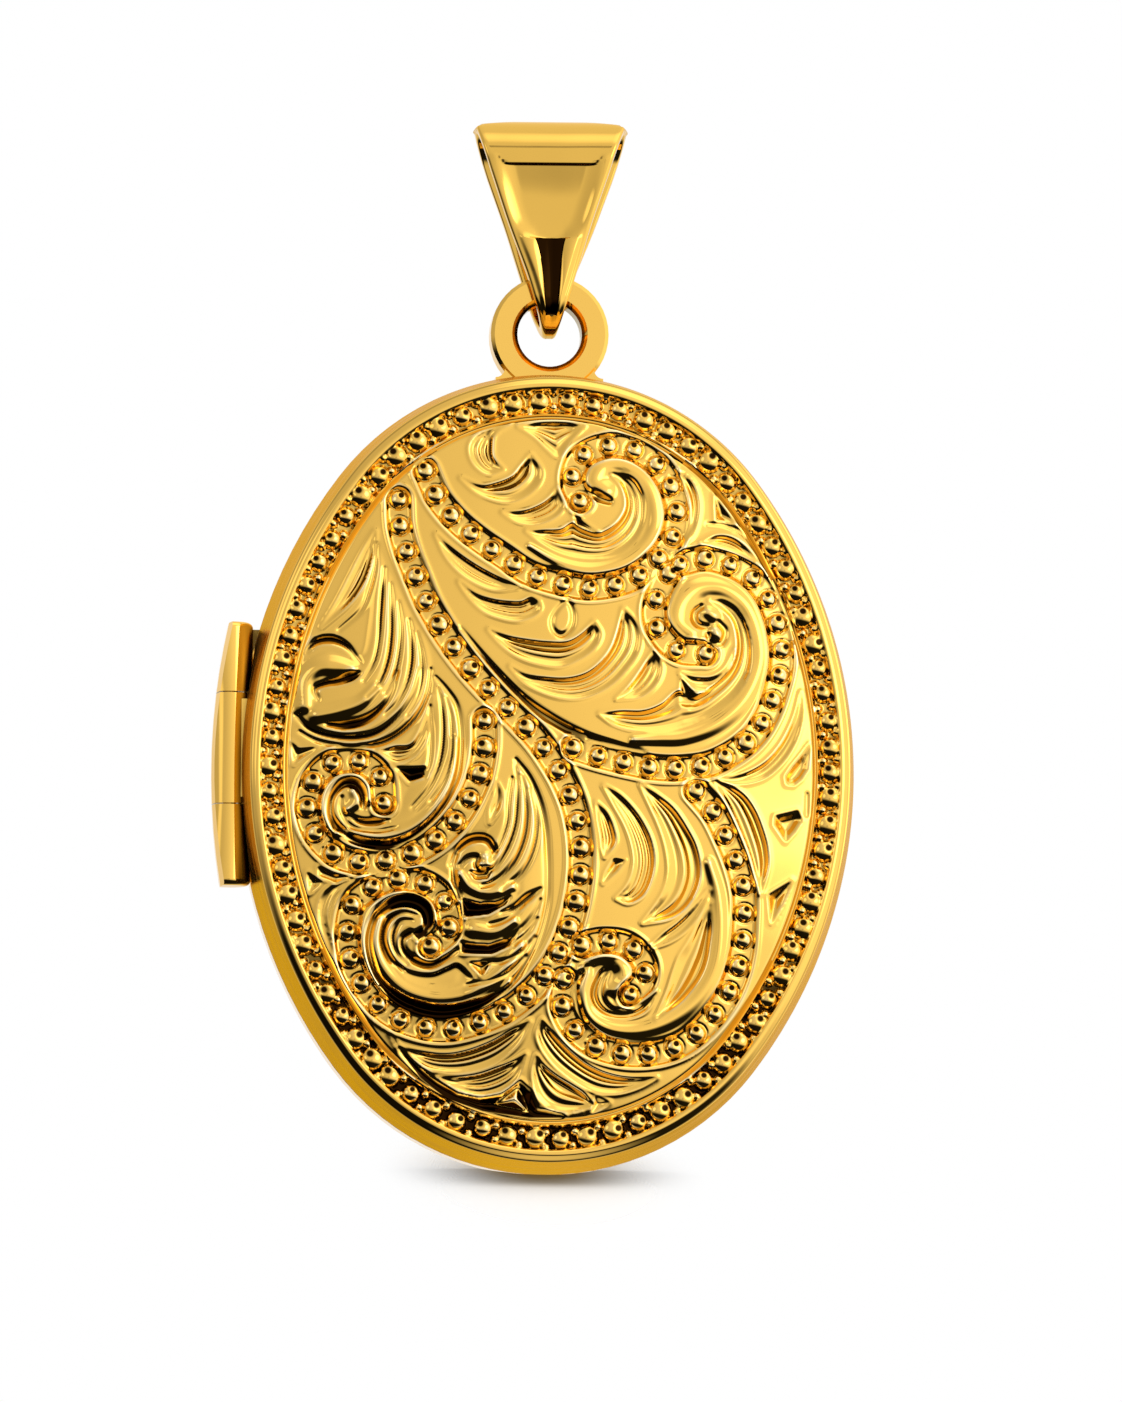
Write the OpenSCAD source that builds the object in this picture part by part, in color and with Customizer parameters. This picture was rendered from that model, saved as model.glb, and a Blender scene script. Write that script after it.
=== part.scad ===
// Oval photo locket with a knuckled side hinge, a soldered chain loop and a tapered bail.
//
// Every piece is drawn with the closed locket lying on its back: X to the right, Y up towards
// the bail, Z out of the engraved front, and the seam between the two covers at Z = 0.
// stand_up() then turns it upright, engraved front towards -Y, with the origin on the axis of
// the bail's chain eye.

/* [Case] */
// Height of the oval case at the seam, without the loop
case_h = 26; // [25:0.1:28]
// Width of the oval case at the seam, without the hinge
case_w = 20; // [19:0.1:21]
// Height of each cover's side wall
wall_h = 1.9; // [1.6:0.1:2.4]
// How far the front cover's wall leans in from the seam to the rim
wall_draft = 0.3; // [0.1:0.02:0.4]
// How far the back cover's wall leans in from the seam to its edge
back_draft = 0.06; // [0.02:0.02:0.2]
// Thickness of the side walls at the seam
wall_t = 0.55; // [0.5:0.05:0.6]
// Thickness of the pressed sheet of both covers
sheet_t = 0.32; // [0.25:0.01:0.4]
// Daylight between the two covers at the seam
seam_gap = 0.02; // [0.01:0.01:0.05]

/* [Front cover] */
// Rise of the engraved dome above the rim
front_rise = 0.97; // [0.6:0.01:1.3]
// Depth of the bead channel below the rim
channel_depth = 0.43; // [0.3:0.01:0.5]

/* [Back cover] */
// Rise of the plain dome of the back
back_rise = 0.65; // [0.4:0.05:1]
// Radius of the rounded edge of the back
back_edge_r = 0.3; // [0.2:0.05:0.5]

/* [Hinge] */
// Radius of the knuckles
knuckle_r = 0.7; // [0.65:0.01:0.72]
// Radius of the hinge pin
pin_r = 0.2; // [0.15:0.01:0.25]
// Top end of the hinge above the middle of the case
hinge_top = 4.75; // [4.2:0.05:4.9]
// Bottom end of the hinge below the middle of the case
hinge_bottom = 3.8; // [3.4:0.05:4.2]
// Joint between the upper and the middle knuckle
upper_joint = 2.48; // [2.2:0.02:2.8]
// Joint between the middle and the lower knuckle, below the middle
lower_joint = 1.18; // [1:0.02:1.4]

/* [Chain loop] */
// Outer radius of the loop that is soldered to the top of the case
loop_r = 1.92; // [1.7:0.02:2]
// Radius of its hole
loop_hole_r = 1.05; // [0.95:0.01:1.1]
// Thickness of its plate
loop_t = 1.2; // [1:0.05:1.3]
// Height of its centre above the middle of the case
loop_h = 14.35; // [14.2:0.01:14.4]

/* [Bail] */
// Thickness of the bail's strip
bail_t = 0.4; // [0.3:0.02:0.42]
// Outer radius of the top fold, which the chain passes through
fold_r = 1.35; // [1.3:0.01:1.45]
// Outer radius of the bottom fold, which hangs in the loop
tuck_r = 1.3; // [1.28:0.01:1.34]
// Height of the bail from the lowest point to the highest
bail_h = 7.1; // [6.9:0.01:7.2]
// Lowest point of the bail above the middle of the case
bail_low = 14.26; // [14.22:0.01:14.3]
// Half the width of the back panel at its upper corners
bail_half_w = 2.5; // [2.3:0.05:2.7]
// Narrowing of each side per millimetre down the bail
bail_taper = 0.316; // [0.3:0.002:0.33]
// Narrowing of each side per millimetre from the back panel to the front one
bail_lean = 0.092; // [0.05:0.002:0.12]
// How far the swelling down the front panel stands out where it meets the bottom fold
swell_rise = 0.16; // [0.1:0.01:0.2]

/* [Photo frames] */
// Width of the frames' flanges
frame_w = 1.5; // [1:0.1:2]
// Thickness of the clear windows
window_t = 0.12; // [0.1:0.01:0.15]
// Thickness of the photo cards
card_t = 0.15; // [0.1:0.01:0.2]

/* [Hidden] */

GOLD = "#e3b24a";
PALE_GOLD = "#ecc468";
PAPER = "#efe6d2";
CLEAR = "#cfe0e8";

// Facets of a full circle in the preview; the curves themselves are true arcs.
$fn = 180;
// Angle by which neighbouring arcs of an oval overlap, so that they fuse into one ring.
lap = 0.002;
// Running clearance of the hinge and of the snap rim.
run = 0.05;

// Half-axes [x, y] of the case at the seam, and of the cavities, which run parallel to it.
case = [case_w / 2, case_h / 2];
cavity = case - [wall_t, wall_t];
// Bevel between the front cover's wall and its rim, and the height of the rim's top.
bevel = 0.14;
rim_z = wall_h + bevel;
// The bead channel's outer and inner edges and the engraved field, which narrow at the sides.
channel_out = case - [0.6, 0.65];
channel_in = case - [1.29, 1.44];
field = case - [1.38, 1.55];
channel_z = rim_z - channel_depth;
line_z = rim_z - 0.03;
field_z = rim_z - 0.1;
// Step inside the front cover that its photo frame seats on.
step_z = 1.05;

hinge_x = -(case[0] + 0.25);
// The outside of the hinge is filed to a cone of this radius at the seam, out to filed_x. It
// leans in as the front cover's wall does.
filed_r = 22;
filed_x = hinge_x - 0.6;
// How far the front cover's grooves run on past the ends of the hinge.
groove_run_out = 0.45;
// How far the pin ends short of the closed ends of the outer knuckles.
pin_margin = 0.6;
knuckle_gap = 0.04;
knuckle_ease = 0.2;

// The loop's plate lies wholly behind the seam, so that the front cover opens past it.
loop_z = -(seam_gap + 0.04 + loop_t / 2);
loop_edge = 0.12;
// Bevel of the hole, deep enough for the bail to swing level with the case.
hole_edge = 0.18;

fold_y = bail_low + bail_h - fold_r;
tuck_y = bail_low + tuck_r;
// The slight arch across the top of the bail: its radius, and how far its top stands clear.
crown_r = 14;
crown_clear = 0.03;

rim_top = 0.85;
rim_t = 0.3;
frame_t = 0.16;
// The snap ridge stands this far out of the rim: a hair more than the running clearance.
snap_proud = run + 0.02;
snap_r = 0.15;
snap_z = 0.45;

front_frame_z = step_z - 0.1;
front_window_z = front_frame_z + frame_t;
back_frame_z = -0.25;
back_window_z = back_frame_z - frame_t;

// ---------------------------------------------------------------------------------------------
// Shared shapes

// Turns the closed locket upright, with the origin on the axis of the bail's chain eye.
module stand_up() {
    rotate([90, 0, 0]) translate([0, -fold_y, -loop_z]) children();
}

// Every oval here is the jeweller's four-centre oval on a 3-4-5 triangle: two side arcs and two
// end arcs that meet without a kink.
function oval_unit(half) = (half[1] - half[0]) / 2;
function side_radius(half) = half[0] + 4 * oval_unit(half);
function end_radius(half) = half[0] - oval_unit(half);
side_angle = atan2(3, 4);

// The filled oval with the half-axes [x, y].
module oval(half) {
    u = oval_unit(half);
    r = side_radius(half);
    intersection() {
        translate([-4 * u, 0]) circle(r = r);
        translate([4 * u, 0]) circle(r = r);
        square([3 * half[0], 2 * r * sin(side_angle)], center = true);
    }
    for (s = [-1, 1]) translate([0, s * 3 * u]) circle(r = end_radius(half));
}

// A plate of that outline.
module oval_plate(half, from, to) {
    translate([0, 0, from]) linear_extrude(to - from) oval(half);
}

// A ring whose section is the 2D child, drawn with X outwards from the oval and Y along Z.
module oval_sweep(half) {
    u = oval_unit(half);
    turn = side_angle + lap;
    for (s = [0, 180]) rotate([0, 0, s]) {
        translate([-4 * u, 0, 0])
            rotate_extrude(angle = 2 * turn, start = -turn)
                translate([side_radius(half), 0]) children();
        translate([0, 3 * u, 0])
            rotate_extrude(angle = 180 - 2 * turn + 4 * lap, start = turn - 2 * lap)
                translate([end_radius(half), 0]) children();
    }
}

// A plate of that outline whose top is domed both ways: peak is the height of its middle, and
// rise is how far it falls to the outline.
module oval_dome(half, peak, rise) {
    across = (half[0] * half[0] + rise * rise) / (2 * rise);
    along = (half[1] * half[1] + rise * rise) / (2 * rise);
    depth = 2 * rise + 2;
    intersection() {
        oval_plate(half, peak - rise - 0.7, peak + 0.1);
        translate([0, 0, peak - across]) rotate([-90, 0, 0])
            rotate_extrude(angle = 60, start = -120, $fn = 360)
                intersection() {
                    translate([across - along, 0]) circle(r = along);
                    translate([across - depth, -half[1] - 1]) square([depth + 1, 2 * half[1] + 2]);
                }
    }
}

// A cover's side wall and bevel, from the seam up.
module wall_ring() {
    oval_sweep(case) polygon([[-0.9, seam_gap / 2], [0, seam_gap / 2], [-wall_draft, wall_h],
        [-wall_draft - bevel, rim_z], [-0.9, rim_z]]);
}

// ---------------------------------------------------------------------------------------------
// Shapes along the hinge's axis

module hinge_bar(r, from, to) {
    translate([hinge_x, from, 0]) rotate([-90, 0, 0]) cylinder(r = r, h = to - from, $fn = 96);
}

// Grooves that a cover's wall has round the knuckles: close ones for those that it carries, and
// ones with running clearance for those that it turns past. own is "outer" or "middle".
module knuckle_grooves(own) {
    outer_r = own == "outer" ? knuckle_r : knuckle_r + run;
    middle_r = own == "middle" ? knuckle_r : knuckle_r + run;
    joint_gap = own == "outer" ? 0 : knuckle_gap;
    end_gap = own == "outer" ? 0 : groove_run_out;
    hinge_bar(outer_r, upper_joint - joint_gap, hinge_top + end_gap);
    hinge_bar(outer_r, -hinge_bottom - end_gap, -lower_joint + joint_gap);
    hinge_bar(middle_r, -lower_joint, upper_joint);
}

// The outside of a cover up to its rim, which its knuckles and the chain loop are fitted to.
module case_outside(own) {
    mirror([0, 0, own == "outer" ? 1 : 0]) difference() {
        union() {
            if (own == "outer") oval_sweep(case) back_wall_section();
            else wall_ring();
            oval_plate(case - [0.6, 0.6], seam_gap / 2, wall_h);
        }
        knuckle_grooves(own);
    }
}

// One knuckle: a tube that is filed outside to follow the case, and a bearing strip that joins
// it to its own cover. eased names the end whose edge is rounded: "top", "bottom" or "none".
module knuckle(from, to, own, eased) {
    strip_t = 0.5;
    strip_z = own == "outer" ? -0.12 - strip_t : 0.12;
    difference() {
        intersection() {
            union() {
                knuckle_tube(from, to, eased);
                translate([hinge_x, from + 0.2, strip_z]) cube([1.2, to - from - 0.4, strip_t]);
            }
            filed_outside();
        }
        case_outside(own);
        children();
    }
}

// What the file leaves of the hinge on its outer side.
module filed_outside() {
    height = 2;
    translate([filed_x + filed_r, 0, 0]) {
        translate([0, 0, -height]) cylinder(r = filed_r, h = height, $fn = 720);
        cylinder(r1 = filed_r, r2 = filed_r - height * wall_draft / wall_h, h = height, $fn = 720);
    }
}

module knuckle_tube(from, to, eased) {
    e = eased == "none" ? 0 : knuckle_ease;
    length = to - from;
    flip = eased == "bottom";
    translate([hinge_x, flip ? to : from, 0]) rotate([flip ? 90 : -90, 0, 0])
        rotate_extrude($fn = 96) {
            square([knuckle_r, length - e]);
            square([knuckle_r - e, length]);
            if (e > 0) translate([knuckle_r - e, length - e]) circle(r = e, $fn = 48);
        }
}

// A bar along the middle of the right-hand wall, standing out of the snap rim by snap_proud.
module snap_bar(r, length) {
    translate([cavity[0] - run - snap_r + snap_proud, 0, snap_z])
        rotate([90, 0, 0]) cylinder(r = r, h = length, center = true, $fn = 48);
}

// ---------------------------------------------------------------------------------------------
// Bail

// The bail is one strip folded round the chain eye at the top and round the loop at the bottom.
// It tapers to the bottom, and from the back panel to the front one, and its top is cut to an arch.
module bail() {
    color(GOLD) stand_up() difference() {
        intersection() {
            union() {
                bail_strip();
                bail_swell();
            }
            translate([0, fold_y + fold_r + crown_clear - crown_r, -5])
                cylinder(r = crown_r, h = 10, $fn = 360);
        }
        bail_taper_cut();
        mirror([1, 0, 0]) bail_taper_cut();
    }
}

// The closed strip before its edges are cut: two bends and the two flat panels between them.
module bail_strip() {
    lean = asin((fold_r - tuck_r) / (fold_y - tuck_y));
    translate([0, 0, loop_z]) rotate([0, -90, 0]) {
        translate([0, fold_y, 0]) bail_bend(fold_r, -lean - lap, 180 + 2 * lean + 2 * lap);
        translate([0, tuck_y, 0]) bail_bend(tuck_r, 180 + lean - lap, 180 - 2 * lean + 2 * lap);
        linear_extrude(4 * bail_half_w, center = true) bail_panel(lean);
        linear_extrude(4 * bail_half_w, center = true) mirror([1, 0]) bail_panel(lean);
    }
}

module bail_bend(r, from, turn) {
    rotate_extrude(angle = turn, start = from, $fn = 96)
        translate([r - bail_t, -2 * bail_half_w]) square([bail_t, 4 * bail_half_w]);
}

// Side view of one panel, which touches both bends.
module bail_panel(lean) {
    polygon([for (end = [[fold_y, fold_r], [fold_y, fold_r - bail_t], [tuck_y, tuck_r - bail_t], [tuck_y, tuck_r]])
        [end[1] * cos(lean), end[0] - end[1] * sin(lean)]]);
}

// The rounded swelling down the lower half of the front panel: a cone that sinks into the panel
// as it rises, ended by a ball that fades into the bottom fold.
module bail_swell() {
    low_r = 0.75;
    top_r = 1.7;
    low = [tuck_y, loop_z + tuck_r + swell_rise - low_r];
    top = [17.9, loop_z - 0.29];
    run = top - low;
    intersection() {
        translate([0, low[0], low[1]]) {
            sphere(r = low_r + 0.01);
            rotate([-atan2(run[0], run[1]), 0, 0]) cylinder(r1 = low_r, r2 = top_r, h = norm(run));
        }
        translate([-bail_half_w, bail_low, loop_z + tuck_r - bail_t / 2])
            cube([2 * bail_half_w, bail_h, bail_t]);
    }
}

// Everything outside the plane of the bail's right-hand edge.
module bail_taper_cut() {
    corner_drop = 0.36;
    turn = atan(bail_taper);
    tip = atan(bail_lean / sqrt(1 + bail_taper * bail_taper));
    translate([bail_half_w, fold_y + fold_r - corner_drop, loop_z - fold_r]) rotate([0, -tip, -turn])
        translate([0, -20, -20]) cube([10, 40, 40]);
}

// ---------------------------------------------------------------------------------------------
// Back half

// The flat loop that carries the locket, with eased edges and a flared foot on the case.
module chain_loop() {
    e = loop_edge;
    i = hole_edge;
    h = loop_t / 2;
    color(GOLD) stand_up() difference() {
        union() {
            translate([0, loop_h, loop_z]) rotate_extrude() polygon([
                [loop_hole_r, -h + i], [loop_hole_r + i, -h], [loop_r - e, -h], [loop_r, -h + e],
                [loop_r, h - e], [loop_r - e, h], [loop_hole_r + i, h], [loop_hole_r, h - i]]);
            translate([0, 0, loop_z - h + e / 2]) linear_extrude(loop_t - e) loop_foot();
        }
        case_outside("outer");
    }
}

// The foot's outline: as wide as the loop is where it meets the case, with a hollow each side.
module loop_foot() {
    half = 1.75;
    hollow_r = 0.3;
    difference() {
        translate([-half, case[1] - 0.7]) square([2 * half, 0.95]);
        for (s = [-1, 1]) translate([s * half, case[1] + 0.22]) circle(r = hollow_r, $fn = 48);
        translate([0, loop_h]) circle(r = loop_hole_r + hole_edge);
    }
}

module back_cover() {
    peak = rim_z + back_rise;
    color(GOLD) stand_up() mirror([0, 0, 1]) difference() {
        union() {
            oval_sweep(case) back_wall_section();
            oval_plate(case - [0.7, 0.7], 1, rim_z - 0.1);
            oval_dome(case - [0.35, 0.35], peak, back_rise);
        }
        oval_plate(cavity, -1, 1.3);
        oval_plate(cavity - [0.15, 0.15], -1, wall_h - 0.3);
        oval_dome(field, peak - sheet_t, back_rise);
        knuckle_grooves("outer");
    }
}

// The back cover's wall, which rolls over a rounded edge into the back.
module back_wall_section() {
    r = back_edge_r;
    corner = [-back_draft - r, rim_z - r];
    difference() {
        polygon([[-0.9, seam_gap / 2], [0, seam_gap / 2], [-back_draft, rim_z - r],
            [-back_draft, rim_z], [-0.9, rim_z]]);
        difference() {
            translate(corner) square(2 * r);
            translate(corner) circle(r = r, $fn = 48);
        }
    }
}

// The thin band soldered inside the back cover, over which the front cover snaps.
module snap_rim() {
    color(PALE_GOLD) stand_up() oval_sweep(cavity) polygon([[0, -1.2], [0, -0.03], [-run, 0.02],
        [-run, rim_top - 0.1], [-run - 0.1, rim_top], [-rim_t, rim_top], [-rim_t, -1.2]]);
}

// The small ridge on the band that clicks into a groove in the front cover.
module snap_bead() {
    color(PALE_GOLD) stand_up() difference() {
        snap_bar(snap_r, 1.8);
        oval_plate(cavity - [run, run], -1, 2);
    }
}

module upper_knuckle() {
    color(GOLD) stand_up() knuckle(upper_joint, hinge_top, "outer", "top")
        hinge_bar(pin_r, upper_joint - 1, hinge_top - pin_margin);
}

module lower_knuckle() {
    color(GOLD) stand_up() knuckle(-hinge_bottom, -lower_joint, "outer", "bottom")
        hinge_bar(pin_r, -hinge_bottom + pin_margin, -lower_joint + 1);
}

module hinge_pin() {
    color(PALE_GOLD) stand_up() hinge_bar(pin_r, -hinge_bottom + pin_margin, hinge_top - pin_margin);
}

// The back photo's frame: a flange with an eased lip, and a skirt that grips inside the band.
module back_photo_frame() {
    skirt_t = 0.2;
    z = back_frame_z;
    color(PALE_GOLD) stand_up() oval_sweep(cavity - [rim_t, rim_t]) polygon([[0, z], [0, z - 0.45],
        [-skirt_t, z - 0.45], [-skirt_t, z - frame_t], [-frame_w, z - frame_t],
        [-frame_w - 0.1, z - frame_t / 2], [-frame_w, z]]);
}

module back_window() {
    color(CLEAR) stand_up() oval_plate(cavity - [0.55, 0.55], back_window_z - window_t, back_window_z);
}

module back_photo_card() {
    z = back_window_z - window_t;
    color(PAPER) stand_up() oval_plate(cavity - [0.55, 0.55], z - card_t, z);
}

// ---------------------------------------------------------------------------------------------
// Front half

// The engraved cover: wall, bevel and rim, the sunk channel that holds the bead border, a fine
// raised line, and the domed field.
module front_cover() {
    color(GOLD) stand_up() difference() {
        union() {
            wall_ring();
            oval_plate(case - [0.7, 0.7], 0.9, channel_z);
            oval_plate(channel_in, 1, line_z);
            oval_dome(field, field_z + front_rise, front_rise);
        }
        translate([0, 0, channel_z]) linear_extrude(1) difference() {
            oval(channel_out);
            oval(channel_in);
        }
        oval_plate(cavity, -1, step_z);
        oval_plate(cavity - [0.45, 0.45], -1, channel_z - sheet_t);
        oval_dome(field - [0.25, 0.25], field_z + front_rise - sheet_t, front_rise);
        knuckle_grooves("middle");
        snap_bar(snap_r + 0.04, 2);
    }
}

module middle_knuckle() {
    color(GOLD) stand_up()
        knuckle(-lower_joint + knuckle_gap, upper_joint - knuckle_gap, "middle", "none")
            hinge_bar(pin_r + run, -lower_joint - 1, upper_joint + 1);
}

// The front photo's frame, a flange that seats on the step inside the cover.
module front_photo_frame() {
    z = front_frame_z;
    seat = 0.45;
    color(PALE_GOLD) stand_up() oval_sweep(cavity) polygon([[0, z], [0, step_z], [-seat, step_z],
        [-seat, z + frame_t], [-frame_w - rim_t, z + frame_t], [-frame_w - rim_t - 0.1, z + frame_t / 2],
        [-frame_w - rim_t, z]]);
}

module front_window() {
    color(CLEAR) stand_up()
        oval_plate(cavity - [0.55, 0.55], front_window_z, front_window_z + window_t);
}

module front_photo_card() {
    z = front_window_z + window_t;
    color(PAPER) stand_up() oval_plate(field - [0.3, 0.3], z, z + card_t);
}

bail();
chain_loop();
back_cover();
snap_rim();
snap_bead();
upper_knuckle();
lower_knuckle();
hinge_pin();
back_photo_frame();
back_window();
back_photo_card();
front_cover();
middle_knuckle();
front_photo_frame();
front_window();
front_photo_card();
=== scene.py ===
import math

import bpy
import numpy as np
from mathutils import Matrix, Vector
from mathutils.geometry import delaunay_2d_cdt


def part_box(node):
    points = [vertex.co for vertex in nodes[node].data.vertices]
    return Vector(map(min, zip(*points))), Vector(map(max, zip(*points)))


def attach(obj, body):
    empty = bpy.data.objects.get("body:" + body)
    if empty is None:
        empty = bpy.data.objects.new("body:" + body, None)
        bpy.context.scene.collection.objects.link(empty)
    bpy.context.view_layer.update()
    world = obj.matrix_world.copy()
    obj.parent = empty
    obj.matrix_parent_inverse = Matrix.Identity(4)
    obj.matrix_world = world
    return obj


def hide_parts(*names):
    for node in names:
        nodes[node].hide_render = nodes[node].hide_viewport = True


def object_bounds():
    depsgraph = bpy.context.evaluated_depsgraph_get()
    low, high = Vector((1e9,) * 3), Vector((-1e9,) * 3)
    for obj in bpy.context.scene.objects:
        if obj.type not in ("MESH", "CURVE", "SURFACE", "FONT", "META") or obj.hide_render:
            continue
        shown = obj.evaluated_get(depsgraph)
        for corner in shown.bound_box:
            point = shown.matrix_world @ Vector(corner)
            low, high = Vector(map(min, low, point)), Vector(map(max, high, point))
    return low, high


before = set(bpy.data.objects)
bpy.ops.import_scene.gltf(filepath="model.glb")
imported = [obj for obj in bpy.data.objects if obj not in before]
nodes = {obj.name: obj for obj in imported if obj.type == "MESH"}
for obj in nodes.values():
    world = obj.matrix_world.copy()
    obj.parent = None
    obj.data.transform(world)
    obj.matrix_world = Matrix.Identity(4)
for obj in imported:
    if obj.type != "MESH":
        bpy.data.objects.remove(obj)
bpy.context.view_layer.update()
MM = 0.001

# ------------------------------------------------------------------------------------------
# The case, in millimetres from the middle of the seam: x to the right, v up, d to the front

cover_low, cover_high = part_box("front_cover")
CENTRE = (cover_low + cover_high) / 2
SEAM_Y = cover_high.y + 0.00001     # the cover's edge is a hair in front of the seam
CASE = np.array([cover_high.x, (cover_high.z - cover_low.z) / 2]) / MM      # half-axes

WALL_TOP = 1.9              # height of the side wall
WALL_DRAFT = 0.3            # how far it leans in
RIM = 2.04                  # top of the polished rim
RIM_BEVEL = 0.14
CHANNEL_OUT = CASE - [0.6, 0.65]
CHANNEL_IN = CASE - [1.29, 1.44]
CHANNEL = 1.78              # floor of the bead channel
LINE = RIM - 0.02           # top of the fine raised line inside the channel
FIELD = CASE - [1.38, 1.55]
FIELD_EDGE = 1.94
DOME = 0.97                 # rise of the engraved field
CAVITY = CASE - 0.55
STEP, STEP_WIDTH = 1.05, 0.45       # step inside the cover, which its photo frame seats on
CEILING = 1.29

# Grooves of the wall. They run on past the knuckles, and the middle knuckle's is narrower.
HINGE_X = -(CASE[0] + 0.25)
HINGE_LOW, HINGE_HIGH, HINGE_GROOVE = -3.8 - 0.45, 4.75 + 0.45, 0.75
MIDDLE_LOW, MIDDLE_HIGH, MIDDLE_GROOVE = -1.18, 2.48, 0.7
SNAP_X, SNAP_D, SNAP_GROOVE, SNAP_HALF = 9.32, 0.45, 0.19, 1

BORDER_BEADS = 78
FIELD_BEADS = (0.27, 0.32)  # least and most radius
BEAD_REACH = 0.42           # of a field bead's moat, from its middle
PAINTED_SHADE_FULL = 0.09                 # a fully dark painted shade, given as a depth of crevice
SPACING = 0.044             # between the points of the struck relief
RING_POINTS = 1480          # round the rim and the wall
rng = np.random.default_rng(7)


def to_world(x, v, d):
    """Places in the CAD's frame, in metres, of points given in the case's own millimetres."""
    points = np.stack([np.broadcast_to(x, np.shape(v)), -np.broadcast_to(d, np.shape(v)), v], -1)
    return points * MM + np.array([0, SEAM_Y, CENTRE.z])


def smooth(t):
    """A soft step from 0 to 1."""
    t = np.clip(t, 0, 1)
    return t * t * (3 - 2 * t)


def oval_distance(half, x, v):
    """How far a point lies outside the four-centre oval with these half-axes."""
    unit = (half[1] - half[0]) / 2
    x, v = np.abs(x), np.abs(v)
    side = np.hypot(x + 4 * unit, v) - (half[0] + 4 * unit)
    end = np.hypot(x, v - 3 * unit) - (half[0] - unit)
    return np.where(4 * v < 3 * (x + 4 * unit), side, end)


def oval_ring(half, count, start=0.0):
    """Evenly spaced points round the four-centre oval, from its right-hand side upwards."""
    unit = (half[1] - half[0]) / 2
    side_r, end_r, turn = half[0] + 4 * unit, half[0] - unit, math.atan2(3, 4)
    side, end = side_r * turn, end_r * (math.pi / 2 - turn)
    s = (np.arange(count) + start) / count * 4 * (side + end)
    quarter, s = np.divmod(s, side + end)
    s = np.where(quarter % 2 == 1, side + end - s, s)
    on_side = s < side
    a = np.where(on_side, s / side_r, turn + (s - side) / end_r)
    x = np.where(on_side, side_r * np.cos(a) - 4 * unit, end_r * np.cos(a))
    v = np.where(on_side, side_r * np.sin(a), end_r * np.sin(a) + 3 * unit)
    return (x * np.where((quarter == 1) | (quarter == 2), -1, 1),
            v * np.where(quarter >= 2, -1, 1))


# ------------------------------------------------------------------------------------------
# Struck relief: every stroke works on the heights of the field's points

def table(text):
    """Listed strokes, in millimetres. ';' parts the strokes, '/' parts what one is made of, and
    a point is x,v or x,v,half-width. A line that starts with '#' is a comment."""
    text = " ".join(line for line in text.splitlines() if not line.startswith("#"))
    return [[[tuple(map(float, point.split(","))) for point in part.split()]
             for part in stroke.split("/")] for stroke in text.split(";")]


def closed(outline):
    return np.vstack([outline, outline[:1]])


def curve(points, step=0.05):
    """A smooth curve through given points, which may carry a half-width as a third value."""
    p = np.array(points, float)
    if len(p) == 2:
        p = np.array([p[0], (p[0] + p[1]) / 2, p[1]])
    ends = np.vstack([2 * p[0] - p[1], p, 2 * p[-1] - p[-2]])
    out = []
    for a, b, c, d in zip(ends, ends[1:], ends[2:], ends[3:]):
        n = max(2, int(np.hypot(*(c - b)[:2]) / step))
        t = (np.arange(n) / n)[:, None]
        out.append(0.5 * (2 * b + (c - a) * t + (2 * a - 5 * b + 4 * c - d) * t ** 2
                          + (3 * b - a - 3 * c + d) * t ** 3))
    return np.vstack(out + [p[-1:]])


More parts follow.
